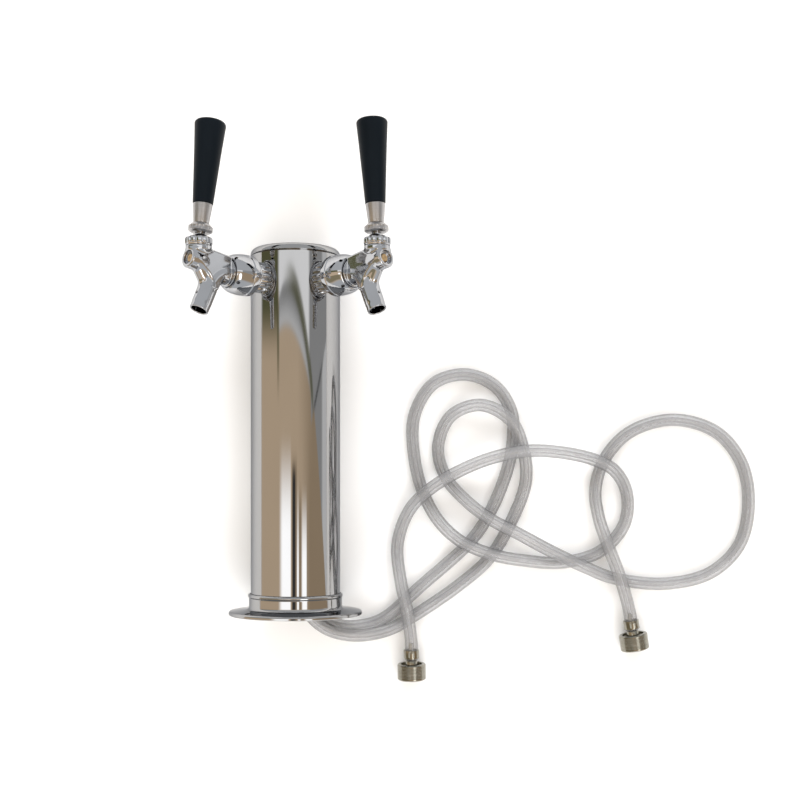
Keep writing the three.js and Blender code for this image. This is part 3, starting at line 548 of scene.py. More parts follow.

# %% [markdown]
# ## Beer lines
# Each hose is one smooth curve. It leaves the elbow inside the column, drops out of the
# flange, and lies on the table in loose loops that pass over each other in low humps. The
# points are listed: x, y and z inside the tower, and on the table x, y and how many hoses
# it lies on. A centripetal spline through them keeps the loops round.

# %% Routes
HOSE_R, HOSE_LIFT, LAYER, BORE_R = 5.55, 0.3, 12.2, 2.4
ELBOW_OUT, ELBOW_DROP, STRAIGHT = 16.2, 14.2, 17.0
GAP = 0.3
NUT_R, NUT_LENGTH, NUT_STANDOFF = 12.7, 14.0, 3.5
NUT_TURN = {"left": 1.0, "right": 9.5}
NUT_PLACE = {"left": (99.6, -56.2), "right": (297.8, -29.3)}
INSIDE = {
    "left": [
        (-9, 150, 3), (-5, 62, 0), (9, 10, -9), (18, -3, -18), (34, -13, -35), (52, -15.5, -47), (73, -10, -51.6),
    ],
    "right": [
        (8, 150, 12), (0, 60, 14), (9, 6, 3), (22, -11, -8), (40, -20, -23), (60, -22, -35), (82, -18, -49.3),
        (100, -8, -51.6),
    ],
}
ON_TABLE = {
    "left": [
        (108, 20, 0), (157, 66, 0), (180, 110, 0), (189, 146, 0), (188, 175, 0), (173, 198, 0), (147, 208, 0),
        (119, 200, 0), (102, 172, 0), (102, 134, 0), (110, 103, 0), (123, 79, 0.42), (142, 61, 1.02), (170, 49, 1),
        (200, 43, 0.35), (234, 41, 0), (268, 51, 0), (289, 75, 0), (291, 102, 0.08), (278, 123, 0.85),
        (258, 133, 1.05), (216, 140, 1.55), (186, 138, 1.82), (151, 127, 1.3), (116, 107, 1.17), (97, 87, 0.45),
        (87, 57, 0.1), (90, 24, 0.8), (95, 1, 1.2),
    ],
    "right": [
        (141, 20, 0), (169, 45, 0), (189, 79, 0), (201, 113, 0.1), (198, 141, 0.7), (186, 167, 1.1),
        (160, 180.5, 0.8), (134, 171, 0.2), (123, 144, 0), (130, 117, 0), (148, 96, 0.5), (169, 80, 1.04),
        (194, 67, 1.02), (224, 51, 1.05), (252, 38, 0.9), (280, 27, 0.08), (326, 22, 0), (367, 32, 0),
        (392, 57, 0), (399.6, 92, 0), (393, 129, 0), (370, 157, 0), (331, 168, 0), (293, 157, 0), (271, 133, 0),
        (263, 106, 0.08), (265, 82, 0.6), (273, 56, 1.1), (283, 30, 1.12),
    ],
}


def connector(side):
    """The nut's back face and the direction that its open end faces, in the tower's own frame."""
    lean = radians(NUT_TURN[side])
    out = Vector((sin(lean), -cos(lean), -slope * cos(lean))).normalized()
    x, y = NUT_PLACE[side]
    return Vector((x, y, surface(y) + NUT_R)) - out * (NUT_LENGTH / 2), out


def spline(points, per=24):
    p = np.vstack([2 * points[0] - points[1], points, 2 * points[-1] - points[-2]])
    line = []
    for a, b, c, d in zip(p, p[1:], p[2:], p[3:]):
        t = np.concatenate([[0], np.cumsum([np.linalg.norm(v) ** 0.5 for v in (b - a, c - b, d - c)])])
        for u in np.linspace(t[1], t[2], per, endpoint=False):
            row = [a, b, c, d]
            for spans in (((0, 1), (1, 2), (2, 3)), ((0, 2), (1, 3)), ((1, 2),)):
                row = [v + (w - v) * (u - t[i]) / (t[j] - t[i]) for v, w, (i, j) in zip(row, row[1:], spans)]
            line.append(row[0])
    return np.array(line + [points[-1]])


def route(side):
    """Even points along a hose's middle, in the tower's own frame, and its length."""
    across = SIDES[side] * ELBOW_OUT * sin(radians(TAP_ANGLE))
    forward = ELBOW_OUT * cos(radians(TAP_ANGLE))
    top = SHANK_Y - ELBOW_DROP - GAP
    back, out = connector(side)
    end = back - out * (NUT_STANDOFF + GAP)
    table = [(x, y, surface(y) + HOSE_R + HOSE_LIFT + layer * LAYER) for x, y, layer in ON_TABLE[side]]
    points = [(across, top, forward), (across, top - STRAIGHT, forward), *INSIDE[side], *table]
    line = spline(np.array(points + [tuple(end - out * STRAIGHT), tuple(end)], float))
    along = np.concatenate([[0], np.cumsum(np.linalg.norm(np.diff(line, axis=0), axis=1))])
    at = np.linspace(0, along[-1], int(along[-1] / 2.5))
    return np.stack([np.interp(at, along, line[:, k]) for k in range(3)], axis=1), along[-1]


# %% [markdown]
# A hose follows a path, so the second tree sweeps it: the path's own points become a
# curve, a circle runs along it, and a radius kept on each point swells the hose where a
# barb fills it. The bore is a second, thinner sweep. The ends are closed between the two.

# %% The hose sweep
SWEEP, given = new_tree("swept hose", sides=28, bore=BORE_R)
path = SWEEP.add("GeometryNodeMeshToCurve", {"Mesh": given["mesh"]})
path = stored(SWEEP, path, "run", SWEEP.add("GeometryNodeSplineParameter", out="Length"), "FLOAT")
circle = "GeometryNodeCurvePrimitiveCircle"
outer = SWEEP.add(circle, {"Resolution": given["sides"], "Radius": 1.0}, mode="RADIUS")
outer = stored(SWEEP, outer, "round", SWEEP.add("GeometryNodeInputPosition"))
inner = SWEEP.add(circle, {"Resolution": given["sides"], "Radius": given["bore"]}, mode="RADIUS")
swell, run, ring = [
    SWEEP.add("GeometryNodeInputNamedAttribute", {"Name": name}, data_type=kind)
    for name, kind in (("swell", "FLOAT"), ("run", "FLOAT"), ("round", "FLOAT_VECTOR"))
]
wall = SWEEP.add("GeometryNodeCurveToMesh", {"Curve": path, "Profile Curve": outer, "Scale": swell})
bore = SWEEP.add("GeometryNodeCurveToMesh", {"Curve": path, "Profile Curve": inner})
bore = SWEEP.add("GeometryNodeFlipFaces", {"Mesh": bore})
both = SWEEP.tree.nodes.new("GeometryNodeJoinGeometry")
for half in (bore, wall):
    SWEEP.tree.links.new(half.socket, both.inputs[0])
ring = SWEEP.split(ring)
where = SWEEP.add("ShaderNodeCombineXYZ", {0: ring[0], 1: ring[1], 2: run})
close_tree(SWEEP, stored(SWEEP, Signal(SWEEP, both.outputs[0]), "hose_place", where), given["material"])


def hose(side):
    line, length = route(side)
    mesh = bpy.data.meshes.new(side + "_hose")
    mesh.from_pydata([tuple(p) for p in line], [(i, i + 1) for i in range(len(line) - 1)], [])
    along = np.linspace(0, length, len(line))
    from_end = np.minimum(along, length - along)
    swelling = HOSE_R + 0.28 * (1 - np.clip((from_end - 14) / 5, 0, 1))
    mesh.attributes.new("swell", "FLOAT", "POINT").data.foreach_set("value", swelling.astype(np.float32))
    obj = new_object(side + "_hose", mesh)
    run_tree(obj, SWEEP, material=vinyl)

    def close_ends(work):
        rims = [e for e in work.edges if e.is_boundary]
        for end in (Vector(line[0]), Vector(line[-1])):
            bmesh.ops.bridge_loops(work, edges=[e for e in rims if (e.verts[0].co - end).length < 9])

    belongs(settle(obj, LAID, 40, close_ends), "tower", side + "_beer_line")
    print(side, "hose", round(length), "mm,", len(obj.data.polygons), "faces")
    return obj, [LAID @ Vector(p) for p in line], length


hoses = {side: hose(side) for side in SIDES}

# %% [markdown]
# ## Column, cap and flange
# The column is one polished tube. It stands in the flange's neck, whose rolled bead hides
# the joint, and a shallow cap with rounded shoulders closes the top. Two holes in the
# column's wall let the shanks through.

# %% Column
NECK_IN, NECK_OUT = 38.4, 39.6
SCREW_R, SCREW_RING = 2.75, 51.3
shank_holes = [
    rod_mesh(8.3, 20, 45, shift(0, SHANK_Y, 0) @ turn(sign * TAP_ANGLE, "Y") @ ALONG_SHANK, 48)
    for sign in SIDES.values()
]
outline = [
    (36.6, 2.1), *[(COLUMN_R, y) for y in (2.1, 2.4, 262, 300, 303.3, 303.8)], (37.5, 304.5),
    *[(36.6, y) for y in (304.5, 300, 262)],
]
column = turned(
    "", "polished_column", "column_tube", outline, LAID, "polished_steel", sides=192, cutters=shank_holes
)

cap_top = CAP_JOINT + CAP_RISE
outline = [
    (0, cap_top + 0.6), *[(r, cap_top + 0.6 * (1 - (r / 33.1) ** 2)) for r in (8, 16, 22, 27, 31)],
    *arc(33.1, cap_top - 5, 5, 90, 6, 12), (38.1, 305.5), (37.3, 304.8), (36.3, 304.8), (36.3, 295.8),
    (34.7, 295.8), (34.7, 305.8), (31.5, 309.2), (0, 309.2),
]
cap = turned("", "column_top", "column_cap", outline, LAID, "polished_steel", sides=192, closed=False)

# %% Flange
outline = [
    (36, 0), (56.2, 0), (FLANGE_R, 0.6), *arc(55.0, 1.7, 1.8, 0, 82, 8), (52.5, 3.72), (48, 4.35),
    *arc(42.5, 7.65, 2.9, 265, 180, 12), *[(NECK_OUT, y) for y in (7.8, 8.1, 13.8, 14.05, 14.3)],
    *arc(NECK_IN, 16.2, 2.0, -46, 88, 12), (NECK_IN, 18.2), (NECK_IN, 1.8), (36, 1.8),
]
screws = [radians(a) for a in (45, 135, 225, 315)]
screws = [rod_mesh(SCREW_R, -2, 9, shift(SCREW_RING * sin(a), 0, SCREW_RING * cos(a)), 40) for a in screws]
flange = turned("", "base_plate", "base_flange", outline, LAID, "polished_steel", sides=192, cutters=screws)
print("column, cap and flange", [len(o.data.polygons) for o in (column, cap, flange)])

# %% [markdown]
# ## Faucet bodies
# A faucet's body is a chrome-plated casting with soft fillets, which joining solids would
# leave sharp. So the body is described by a distance: each simple shape says how far a
# point is from it, a smooth minimum joins the shapes with a fillet, and its reverse cuts
# the bores. Surface nets then wrap the zero of that distance in quads, and a few Newton
# steps bring every point onto it, which keeps the chrome's reflections clean.


# %% Distances
def joined(a, b, fillet):
    """Smooth minimum: two shapes meet in a fillet."""
    h = np.clip(0.5 + 0.5 * (b - a) / fillet, 0, 1)
    return b * (1 - h) + a * h - fillet * h * (1 - h)


def cut_by(a, b, edge=0.3):
    """Takes shape b out of shape a, with a slightly broken edge."""
    return -joined(-a, b, edge)


def overlap(a, b):
    """Where two shapes overlap, with true distances outside the corner."""
    return np.minimum(np.maximum(a, b), 0) + np.hypot(np.maximum(a, 0), np.maximum(b, 0))


def polygon_distance(u, v, points):
    """Signed distance to a closed outline in a plane, negative inside."""
    best = np.full(np.broadcast(u, v).shape, 1e9)
    sign = np.ones(best.shape)
    for (x0, y0), (x1, y1) in zip(points, points[1:] + points[:1]):
        ex, ey = x1 - x0, y1 - y0
        wx, wy = u - x0, v - y0
        t = np.clip((wx * ex + wy * ey) / (ex * ex + ey * ey), 0, 1)
        best = np.minimum(best, (wx - ex * t) ** 2 + (wy - ey * t) ** 2)
        above, below = v >= y0, v < y1
        left = ex * wy > ey * wx
        flip = (above & below & left) | (~above & ~below & ~left)
        sign = np.where(flip, -sign, sign)
    return sign * np.sqrt(best)


def rod_distance(x, y, z, start, end, radius):
    """Distance to a flat-ended rod between two points of the middle plane (height, out)."""
    (y0, z0), (y1, z1) = start, end
    length = hypot(y1 - y0, z1 - z0)
    dy, dz = (y1 - y0) / length, (z1 - z0) / length
    along = (y - y0) * dy + (z - z0) * dz
    aside = (y - y0) * dz - (z - z0) * dy
    return overlap(np.sqrt(x**2 + aside**2) - radius, np.abs(along - length / 2) - length / 2)


# %% [markdown]
# The outline follows the photograph: a flat web from the tail to the lever's barrel, a
# round keel that bends down into the spout, a front edge that curls in below the valve's
# boss, and the boss, which leans up by ten degrees.

# %% The faucet's distance
TAN_SPOUT = tan(radians(SPOUT_TILT))
KEEL_DROP, KEEL_R, SPOUT_R, NOSE_R = 2.3, 7.5, 7.7, 5.2
WEB_HALF, WEB_EDGE = 7.5, 1.3
WEB_FRONT = [(108.9, 14.9), (108.1, 7.0), (101.8, 2.0), (95.3, -4.0), (91.9, -10.0), (90.0, -16.0)]
WEB = [(72.3, -2.3), (72.3, 12), (90.1, 15.2), *spline(np.array(WEB_FRONT), 4).tolist(), (86.3, -16), (80.2, -4.2)]
BARREL = [(0, -8.6), (6.3, -8.6), (7.5, -5.2), (10.4, -2.6), (10.4, 0.7), (0, 0.7)]
BOSS = [(0, -10.5), (4.7, -8.9), (7.1, -3.4), (8.2, 2.1), (8.5, 5.2), (8.5, 9.7), (7.6, 10.66), (0, 10.66)]
VALVE_BORES = ((6.2, -38, -24), (4.2, -25, -19), (5.0, -20, -7), (3.7, -8, 12), (5.6, 8.1, 12))
TIP = (-SPOUT_DROP, PIVOT_OUT)
down = (-cos(radians(SPOUT_TILT)), sin(radians(SPOUT_TILT)))


def up_spout(distance):
    return TIP[0] - distance * down[0], TIP[1] - distance * down[1]


corner = PIVOT_OUT - (SPOUT_DROP - KEEL_DROP) * TAN_SPOUT
bend = [(-KEEL_DROP, corner - 12), (-KEEL_DROP, corner), (-KEEL_DROP + 12 * down[0], corner + 12 * down[1])]
keel = [(-KEEL_DROP, 71.0)]
for t in np.linspace(0, 1, 13):
    keel.append(tuple((1 - t) ** 2 * a + 2 * t * (1 - t) * b + t * t * c for a, b, c in zip(*bend)))
keel.append(up_spout(8))


def faucet_distance(x, y, z):
    plane = np.full(np.broadcast(y, z).shape, 1e9)
    for (y0, z0), (y1, z1) in zip(keel, keel[1:]):
        ey, ez = y1 - y0, z1 - z0
        t = np.clip(((y - y0) * ey + (z - z0) * ez) / (ey * ey + ez * ez), 0, 1)
        plane = np.minimum(plane, np.hypot(y - y0 - ey * t, z - z0 - ez * t))
    body = np.sqrt(plane**2 + x**2) - KEEL_R
    flat = polygon_distance(z, y, WEB) + WEB_EDGE
    body = joined(body, overlap(flat, np.abs(x) - (WEB_HALF - WEB_EDGE)) - WEB_EDGE, 1.6)
    body = joined(body, rod_distance(x, y, z, TIP, up_spout(20), SPOUT_R), 1.2)
    foot = (-14.0, PIVOT_OUT - (-14.0 + SPOUT_DROP) * TAN_SPOUT)
    body = joined(body, rod_distance(x, y, z, (5.0, PIVOT_OUT + 2.5), foot, NOSE_R), 3.0)
    around = np.sqrt(x**2 + (z - PIVOT_OUT) ** 2)
    body = joined(body, polygon_distance(around, y - PIVOT_UP + 0 * around, BARREL), 1.8)
    tilt_c, tilt_s = cos(radians(VALVE_TILT)), sin(radians(VALVE_TILT))
    forward = (z - PIVOT_OUT) * tilt_c + (y - VALVE_UP) * tilt_s
    aside = (y - VALVE_UP) * tilt_c - (z - PIVOT_OUT) * tilt_s
    around_valve = np.sqrt(x**2 + aside**2)
    body = joined(body, polygon_distance(around_valve, forward + 0 * around_valve, BOSS), 1.6)
    body = joined(body, rod_distance(x, y, z, (0, 58.4), (0, 73.5), 11.3), 0.8)
    for radius, low, high in VALVE_BORES:
        bored = np.maximum(around_valve - radius, np.abs(forward - (low + high) / 2) - (high - low) / 2)
        body = cut_by(body, bored)
    body = cut_by(body, rod_distance(x, y, z, (0, 57), (0, 66.5), 5.5))
    bore_end = (-1.0, PIVOT_OUT - (SPOUT_DROP - 1) * TAN_SPOUT)
    body = cut_by(body, rod_distance(x, y, z, up_spout(-3), bore_end, 6.3), 0.5)
    vent = up_spout(12)
    vent_end = (vent[0] + 11 * down[1], vent[1] - 11 * down[0])
    body = cut_by(body, rod_distance(x, y, z, vent, vent_end, 1.15))
    body = cut_by(body, np.sqrt(x**2 + (y - PIVOT_UP) ** 2 + (z - PIVOT_OUT) ** 2) - 5.8)
    slot = np.maximum(np.abs(x) - 2.3, np.abs(y - 10.2) - 4.2)
    return cut_by(body, np.maximum(slot, np.abs(z - (PIVOT_OUT - 1.65)) - 5.25))


# %% Surface nets
def net(distance, low, high, step):
    """Wraps the zero of a distance in quads: the points and the faces."""
    axes = [np.arange(low[k], high[k] + step, step) for k in range(3)]
    field = distance(axes[0][:, None, None], axes[1][None, :, None], axes[2][None, None, :])
    inside = field < 0
    shape = [n - 1 for n in field.shape]
    total, hits = np.zeros((*shape, 3)), np.zeros(shape)

    def part(offset):
        return field[tuple(slice(offset[k], offset[k] + shape[k]) for k in range(3))]

    for axis in range(3):
        for corner in ((0, 0), (0, 1), (1, 0), (1, 1)):
            first, second = list(corner), list(corner)
            first.insert(axis, 0)
            second.insert(axis, 1)
            f0, f1 = part(first), part(second)
            crossed = (f0 < 0) != (f1 < 0)
            t = np.where(crossed, f0 / np.where(crossed, f0 - f1, 1), 0)
            for k in range(3):
                total[..., k] += np.where(crossed, first[k] + (t if k == axis else 0), 0)
            hits += crossed
    cells = hits > 0
    index = np.full(shape, -1)
    index[cells] = np.arange(cells.sum())
    points = np.array(low) + step * (np.argwhere(cells) + total[cells] / hits[cells][:, None])
    faces = []
    for axis, (u, v) in enumerate(((1, 2), (2, 0), (0, 1))):
        lower = [slice(1, n) for n in shape]
        lower[axis] = slice(0, shape[axis])
        upper = list(lower)
        upper[axis] = slice(1, shape[axis] + 1)
        a, b = inside[tuple(lower)], inside[tuple(upper)]
        start = np.array([0 if k == axis else 1 for k in range(3)])
        for crossing, sense in ((a & ~b, 1), (~a & b, -1)):
            at = np.argwhere(crossing) + start
            ring = []
            for du, dv in ((1, 1), (0, 1), (0, 0), (1, 0)):
                cell = at.copy()
                cell[:, u] -= du
                cell[:, v] -= dv
                ring.append(index[tuple(cell.T)])
            faces.append(np.stack(ring[::sense], axis=1))
    faces = np.concatenate(faces)
    faces = faces[(faces >= 0).all(axis=1)]
    e = 0.02
    for _ in range(4):
        x, y, z = points.T
        value = distance(x, y, z)
        slopes = [distance(x + e, y, z), distance(x, y + e, z), distance(x, y, z + e)]
        gradient = np.stack([(s - value) / e for s in slopes], axis=1)
        size = np.maximum((gradient**2).sum(axis=1), 0.2)
        points = points - np.clip(value / size, -step / 2, step / 2)[:, None] * gradient * 0.9
    return points, faces


FAUCET_STEP = 0.5
faucet_points, faucet_faces = net(faucet_distance, (-12.5, -38.5, 56.5), (12.5, 19.5, 114.5), FAUCET_STEP)
print("faucet body", len(faucet_points), "points", len(faucet_faces), "faces")
for side in SIDES:
    mesh = bpy.data.meshes.new(side + "_faucet")
    mesh.from_pydata(faucet_points.tolist(), [], faucet_faces.tolist())
    mesh.materials.append(chrome)
    obj = settle(new_object(side + "_faucet", mesh), TAP[side], 60)
    belongs(obj, "tower", side + "_faucet_body")

# %% [markdown]
# ## Shank, collar and coupling nut
# A threaded shank carries each faucet through the column's wall. A fluted collar seats on
# the column, with its foot cut to the column's curve, and a domed coupling nut with four
# spanner holes draws the faucet onto the shank.

# %% Collar and coupling nut
FOOT, STEP, LIP = 33.0, 47.0, 50.0
NUT_BACK, NUT_FRONT = 50.3, 72.0
COUPLING_R, NUT_LONG = 16.8, 21.7
COLLAR = [
    (8.3, FOOT), (12.8, FOOT), (12.8, 40.0), (12.8, STEP - 0.8), (11.6, STEP), (13.7, STEP), (14.3, STEP + 0.6),
    (14.3, LIP - 0.6), (13.7, LIP), (8.3, LIP),
]
GROOVE = [(16.8, -0.25), (16.62, 0), (16.2, 0.25), (16.0, 0.6), (16.2, 0.95), (16.62, 1.2), (16.8, 1.45)]
DOME = [
    (0.30, 1), (0.40, 0.998), (0.52, 0.985), (0.62, 0.968), (0.70, 0.95), (0.79, 0.92), (0.86, 0.885),
    (0.93, 0.838), (0.97, 0.80),
]
COUPLING = [
    (8.3, NUT_BACK), (14.9, NUT_BACK), *arc(15.9, NUT_BACK + 0.9, 0.9, -90, 0, 5),
    *[(r, NUT_BACK + 5.2 + y) for r, y in GROOVE],
    *[(COUPLING_R * wide, NUT_BACK + NUT_LONG * long) for long, wide in DOME],
    (12.9, NUT_FRONT - 0.12), (12.4, NUT_FRONT), (11.6, NUT_FRONT - 0.3), (11.6, 53.5), (8.3, 53.5),
]
for side in SIDES:
    shank = TAP[side] @ ALONG_SHANK
    turned(
        side, "collar", "shank_collar", rounded(COLLAR, 0.35), shank, "chrome", sharp=40,
        cutters=[rod_mesh(NECK_IN, -20, 20, turn(-90, "X"), 192)], material=collar_painted_light_chrome, sides=216,
        flutes=16, depth=1.25, low=32, high=46.6, inside=11.7,
    )
    holes = [shift(0, NUT_FRONT - 2.2, 0) @ turn(52 + 90 * i, "Y") @ turn(-90, "X") for i in range(4)]
    holes = [rod_mesh(1.4, 8, 18, hole, 28) for hole in holes]
    turned(side, "coupling_ring", "coupling_nut", COUPLING, shank, "chrome", cutters=holes, sides=128)

# %% [markdown]
# ## Bonnet, lever and handle
# The lever is a rod with two balls. The large ball turns under the bonnet, and the small
# one below it pushes the valve's shaft. The bonnet is a fluted nut with a slot in its dome
# for the rod to swing in. Above it sit a lock nut, a tapered ferrule and the handle.

# %% Bonnet and valve
PIN_ARM, SWING_ROOM = 10.5, 31


def bonnet(side):
    corners = [(8.8, 1.0), (10.4, 1.0), (10.4, 2.4), (10.95, 2.6), (10.95, 6.6), (10.3, 7.4), (9.2, 7.6)]
    outline = rounded(corners, 0.3)[1:] + arc(0, 0, 11.2, 44, 88, 8) + [(0, 11.2), (0, 5.8)]
    outline += arc(0, 0, 5.8, 88, 38, 6) + [(8.8, 3.6)]
    back, forward = -LEAN[side] - 1, SWING_ROOM - LEAN[side]
    tools = [rod_mesh(3.8, 0, 13, turn(angle, "X"), 48) for angle in (back, forward)]
    fan = [(0, 0)] + [(13 * sin(a), 13 * cos(a)) for a in np.radians(np.linspace(back, forward, 5))]
    n = len(fan)
    walls = [(i, (i + 1) % n, n + (i + 1) % n, n + i) for i in range(n)]
    wedge = bpy.data.meshes.new("wedge")
    wedge.from_pydata(
        [(x, y, z) for x in (-3.8, 3.8) for z, y in fan], [], walls + [tuple(range(n)), tuple(range(n, 2 * n))]
    )
    reworked(wedge)
    turned(
        side, "bonnet_nut", "bonnet", outline, TAP[side] @ ABOUT_PIVOT, "chrome", sharp=38,
        cutters=[*tools, wedge], sides=144, flutes=12, depth=0.95, low=2.5, high=6.9, inside=10,
    )


def valve(side):
    outline = [(0, -31), (2.2, -31), (2.2, -7.2), (3.4, -6), (3.4, 8.3), (2.9, 8.8), (1.2, 8.8), (0, 8.2)]
    lean, raised = radians(LEAN[side]), radians(VALVE_TILT)
    up = PIVOT_UP - VALVE_UP - PIN_ARM * cos(lean)
    centre = PIN_ARM * sin(lean) * cos(raised) + up * sin(raised)
    slot = box_mesh("slot", (-2.2, centre - 2.4, -5), (2.2, centre + 2.4, 2.2))
    turned(
        side, "plunger", "valve_shaft", rounded(outline, 0.2), TAP[side] @ ALONG_VALVE, "brass", "valve",
        cutters=[slot], sides=48, closed=False,
    )


# %% Lever and handle
ROD = arc(0, -PIN_ARM, 1.9, -90, 54, 8) + arc(0, 0, 5.5, -78, 50, 16) + [(3.5, 32.7), (3.2, 33), (0, 33)]
RING = [(3.8, 11.7), (7.7, 11.7), (9.7, 13.0), (9.7, 16.4), (9.0, 16.9), (7.3, 18.8), (3.8, 18.8)]
FERRULE = [(3.8, 19.1), (6.1, 19.1), (6.3, 19.4), (7.95, 34.7), (7.7, 34.9), (5.0, 34.9), (5.0, 44.9), (0, 44.9)]
GRIP = [
    (5.3, 45.2), (5.3, 35.2), (7.8, 35.2), (8.15, 35.5), (9.6, 58), (11.2, 82), (12.45, 98),
    *arc(9.65, 100.0, 3.0, 8, 78, 8), (7.0, 102.96), (0, HANDLE_TOP), (0, 45.2),
]
RIBBED = dict(sides=120, flutes=24, depth=0.35, low=13.2, high=16.2, inside=9.3)
ON_LEVER = (
    ("rod", "lever", ROD, "chrome", {"sides": 48, "closed": False}),
    ("lock_ring", "lever_locknut", rounded(RING, 0.35), "satin_steel", RIBBED),
    ("ferrule", "handle_ferrule", rounded(FERRULE, 0.2) + [(0, 33.3), (3.8, 33.3)], "satin_steel", {}),
    ("grip", "handle_grip", GRIP, "black_plastic", {}),
)
for side in SIDES:
    bonnet(side)
    valve(side)
    for name, node, outline, slot, shape in ON_LEVER:
        turned(side, name, node, outline, HANDLE[side], slot, "lever", **shape)
print("handles done")

# %% [markdown]
# ## Swivel connectors
# Each hose ends in a barbed tailpiece, nickel plated, held by a crimped ear clamp. A nut
# turns freely on the tailpiece's flange and closes on the keg's outlet against a washer.


# %% Connectors
def end_frame(side):
    back, out = connector(side)
    spin = Vector((0, -1, 0)).rotation_difference(out).to_matrix().to_4x4()
    return LAID @ Matrix.Translation(back) @ spin


def clamp(side):
    low, high = NUT_STANDOFF + GAP + 1.2, NUT_STANDOFF + GAP + 8.7
    half = [(2.6, 6.6), (2.1, 7.4), (1.9, 8.2), (1.3, 8.9)]
    crown = [(-x, z) for x, z in half] + [(0, 9.2)] + half[::-1]
    band = lathe(side + "_hose_clamp", rounded(tube_outline(5.87, 6.9, low, high), 0.3), material=nickel)

    def add_ear(work):
        rings = [[work.verts.new((x, y, z)) for x, z in crown] for y in (low + 1.6, high - 1.6)]
        for i in range(len(crown) - 1):
            work.faces.new((rings[0][i], rings[0][i + 1], rings[1][i + 1], rings[1][i]))
        work.faces.new((rings[0][0], rings[1][0], rings[1][-1], rings[0][-1]))
        for ring in rings:
            work.faces.new(ring)

    return belongs(settle(band, end_frame(side), 32, add_ear), "tower", side + "_line_clamp")


TAIL_END = NUT_STANDOFF + 15
TAIL = [
    (2.0, TAIL_END), *[(r, TAIL_END - 5 * i - y) for i in range(3) for r, y in ((2.2, 0), (2.7, 4.7), (2.2, 5))],
    (3.9, NUT_STANDOFF), (4.9, NUT_STANDOFF - 0.4), (5.2, NUT_STANDOFF - 1), (5.2, -4.1), (10.2, -4.1),
    (10.2, -6.1), (2.0, -6.1),
]
RIDGE = ((0, 0), (0.2, 0.25), (0.2, 0.5), (0, 0.75))
SWIVEL = [
    (9.4, 0), (11.9, 0), (NUT_R, -0.9),
    *[(NUT_R - cut, -1.9 - 1.3 * i - back) for i in range(8) for cut, back in RIDGE],
    (NUT_R, -13.1), (11.8, -14), (10.8, -14), (10.8, -3.8), (5.5, -3.8), (5.5, -2.0), (9.4, -2.0),
]
FITTINGS = (
    ("tailpiece", "connector_tailpiece", TAIL, "nickel", "tower", 64),
    ("washer", "connector_washer", rounded(tube_outline(3.2, 10.2, -8.4, -6.4), 0.3), "rubber", "tower", 64),
    ("swivel_nut", "connector_nut", rounded(SWIVEL, 0.1), "nickel", "connector", 128),
)
for side in SIDES:
    fittings = [clamp(side)]
    for name, node, outline, slot, body, sides in FITTINGS:
        fittings.append(turned(side, name, node, outline, end_frame(side), slot, body, sides=sides))
    obj, path_points, length = hoses[side]
    length * MM
print("connectors done")

# %% [markdown]
# ## Table and light
# The photograph was taken on white, so the table is plain white and runs past the
# picture's edges. A plain pale box round everything closes off the view from the sides.
# Light and reflections pass it, so the metal still shows the studio.


# %% Table and backdrop
def faint(dark, light, *texture):
    """A look that varies only faintly, between two greys."""
    return lambda graph: {"Base Color": blend(graph, noise(graph, *texture), (dark,) * 3, (light,) * 3)}


table = new_object("table", bpy.data.meshes.new("table"))
table.data.from_pydata([(-1.5, -4, 0), (4, -4, 0), (4, 4, 0), (-1.5, 4, 0)], [], [(0, 1, 2, 3)])
table.data.materials.append(finish("white table", faint(0.90, 0.93, 6.0, 2.0), Roughness=0.9))

GLOW = {"Emission_Color": (0.87, 0.87, 0.875, 1), "Emission_Strength": 1.0}
backdrop = new_object("backdrop", box_mesh("backdrop", (-12, -12, -12), (12, 12, 12)))
backdrop.data.materials.append(finish("pale backdrop", faint(0, 0.01, 0.2, 1.0), **GLOW))
for sense in ("diffuse", "glossy", "transmission", "volume_scatter", "shadow"):
    setattr(backdrop, "visible_" + sense, False)

# %% [markdown]
# Chrome shows only what is around it. The sky is therefore a soft studio of broad bands in
# a few plain paints: tan walls beyond the flange, dark walls to the left, bright cloth
# beyond the cap, and a few lit cloths between them. Swing runs round the tower's axis and
# rise along it. Each band is laid over the ones before it, as far as its mask lets it.

# %% Studio sky
BLACK, GREY, PALE, WHITE, CLOTH, LAMPLIT, DAZZLE = [(level,) * 3 for level in (0.05, 0.35, 0.7, 0.8, 1.05, 1.8, 3.0)]
TAN, BROWN, OLIVE, HAZE = (0.65, 0.5, 0.35), (0.4, 0.3, 0.2), (0.12, 0.12, 0.06), (0.49, 0.50, 0.51)
world = bpy.data.worlds.new("studio")
bpy.context.scene.world = world
world.use_nodes = True
world.node_tree.nodes.clear()
sky = Graph(world.node_tree)
east, north, up = sky.split(sky.add("ShaderNodeTexCoord", out="Generated"))
ahead = north * cos(tilt) - up * sin(tilt)
upward = north * sin(tilt) + up * cos(tilt)
swing = east.maths("ARCTAN2", east, upward) * degrees(1)
rise = ahead.maths("ARCSINE", ahead) * degrees(1)


def walls(*stops):
    """Paints round the studio, by the angle from straight up, right being positive."""
    stops = [(angle / 360 + 0.5, paint) for angle, paint in stops]
    return sky.add("ShaderNodeValToRGB", {"Fac": swing / 360 + 0.5}, stops=stops)


def hung(first, last, soft, top, bottom):
    """How much of a hanging cloth is seen: between two angles, below its top."""
    sides = ramp(swing, first - soft, first + soft) * fall(swing, last - 1.5, last + 1.5)
    return sides * fall(rise, bottom, top) * ramp(rise, -8.0, -6.6)


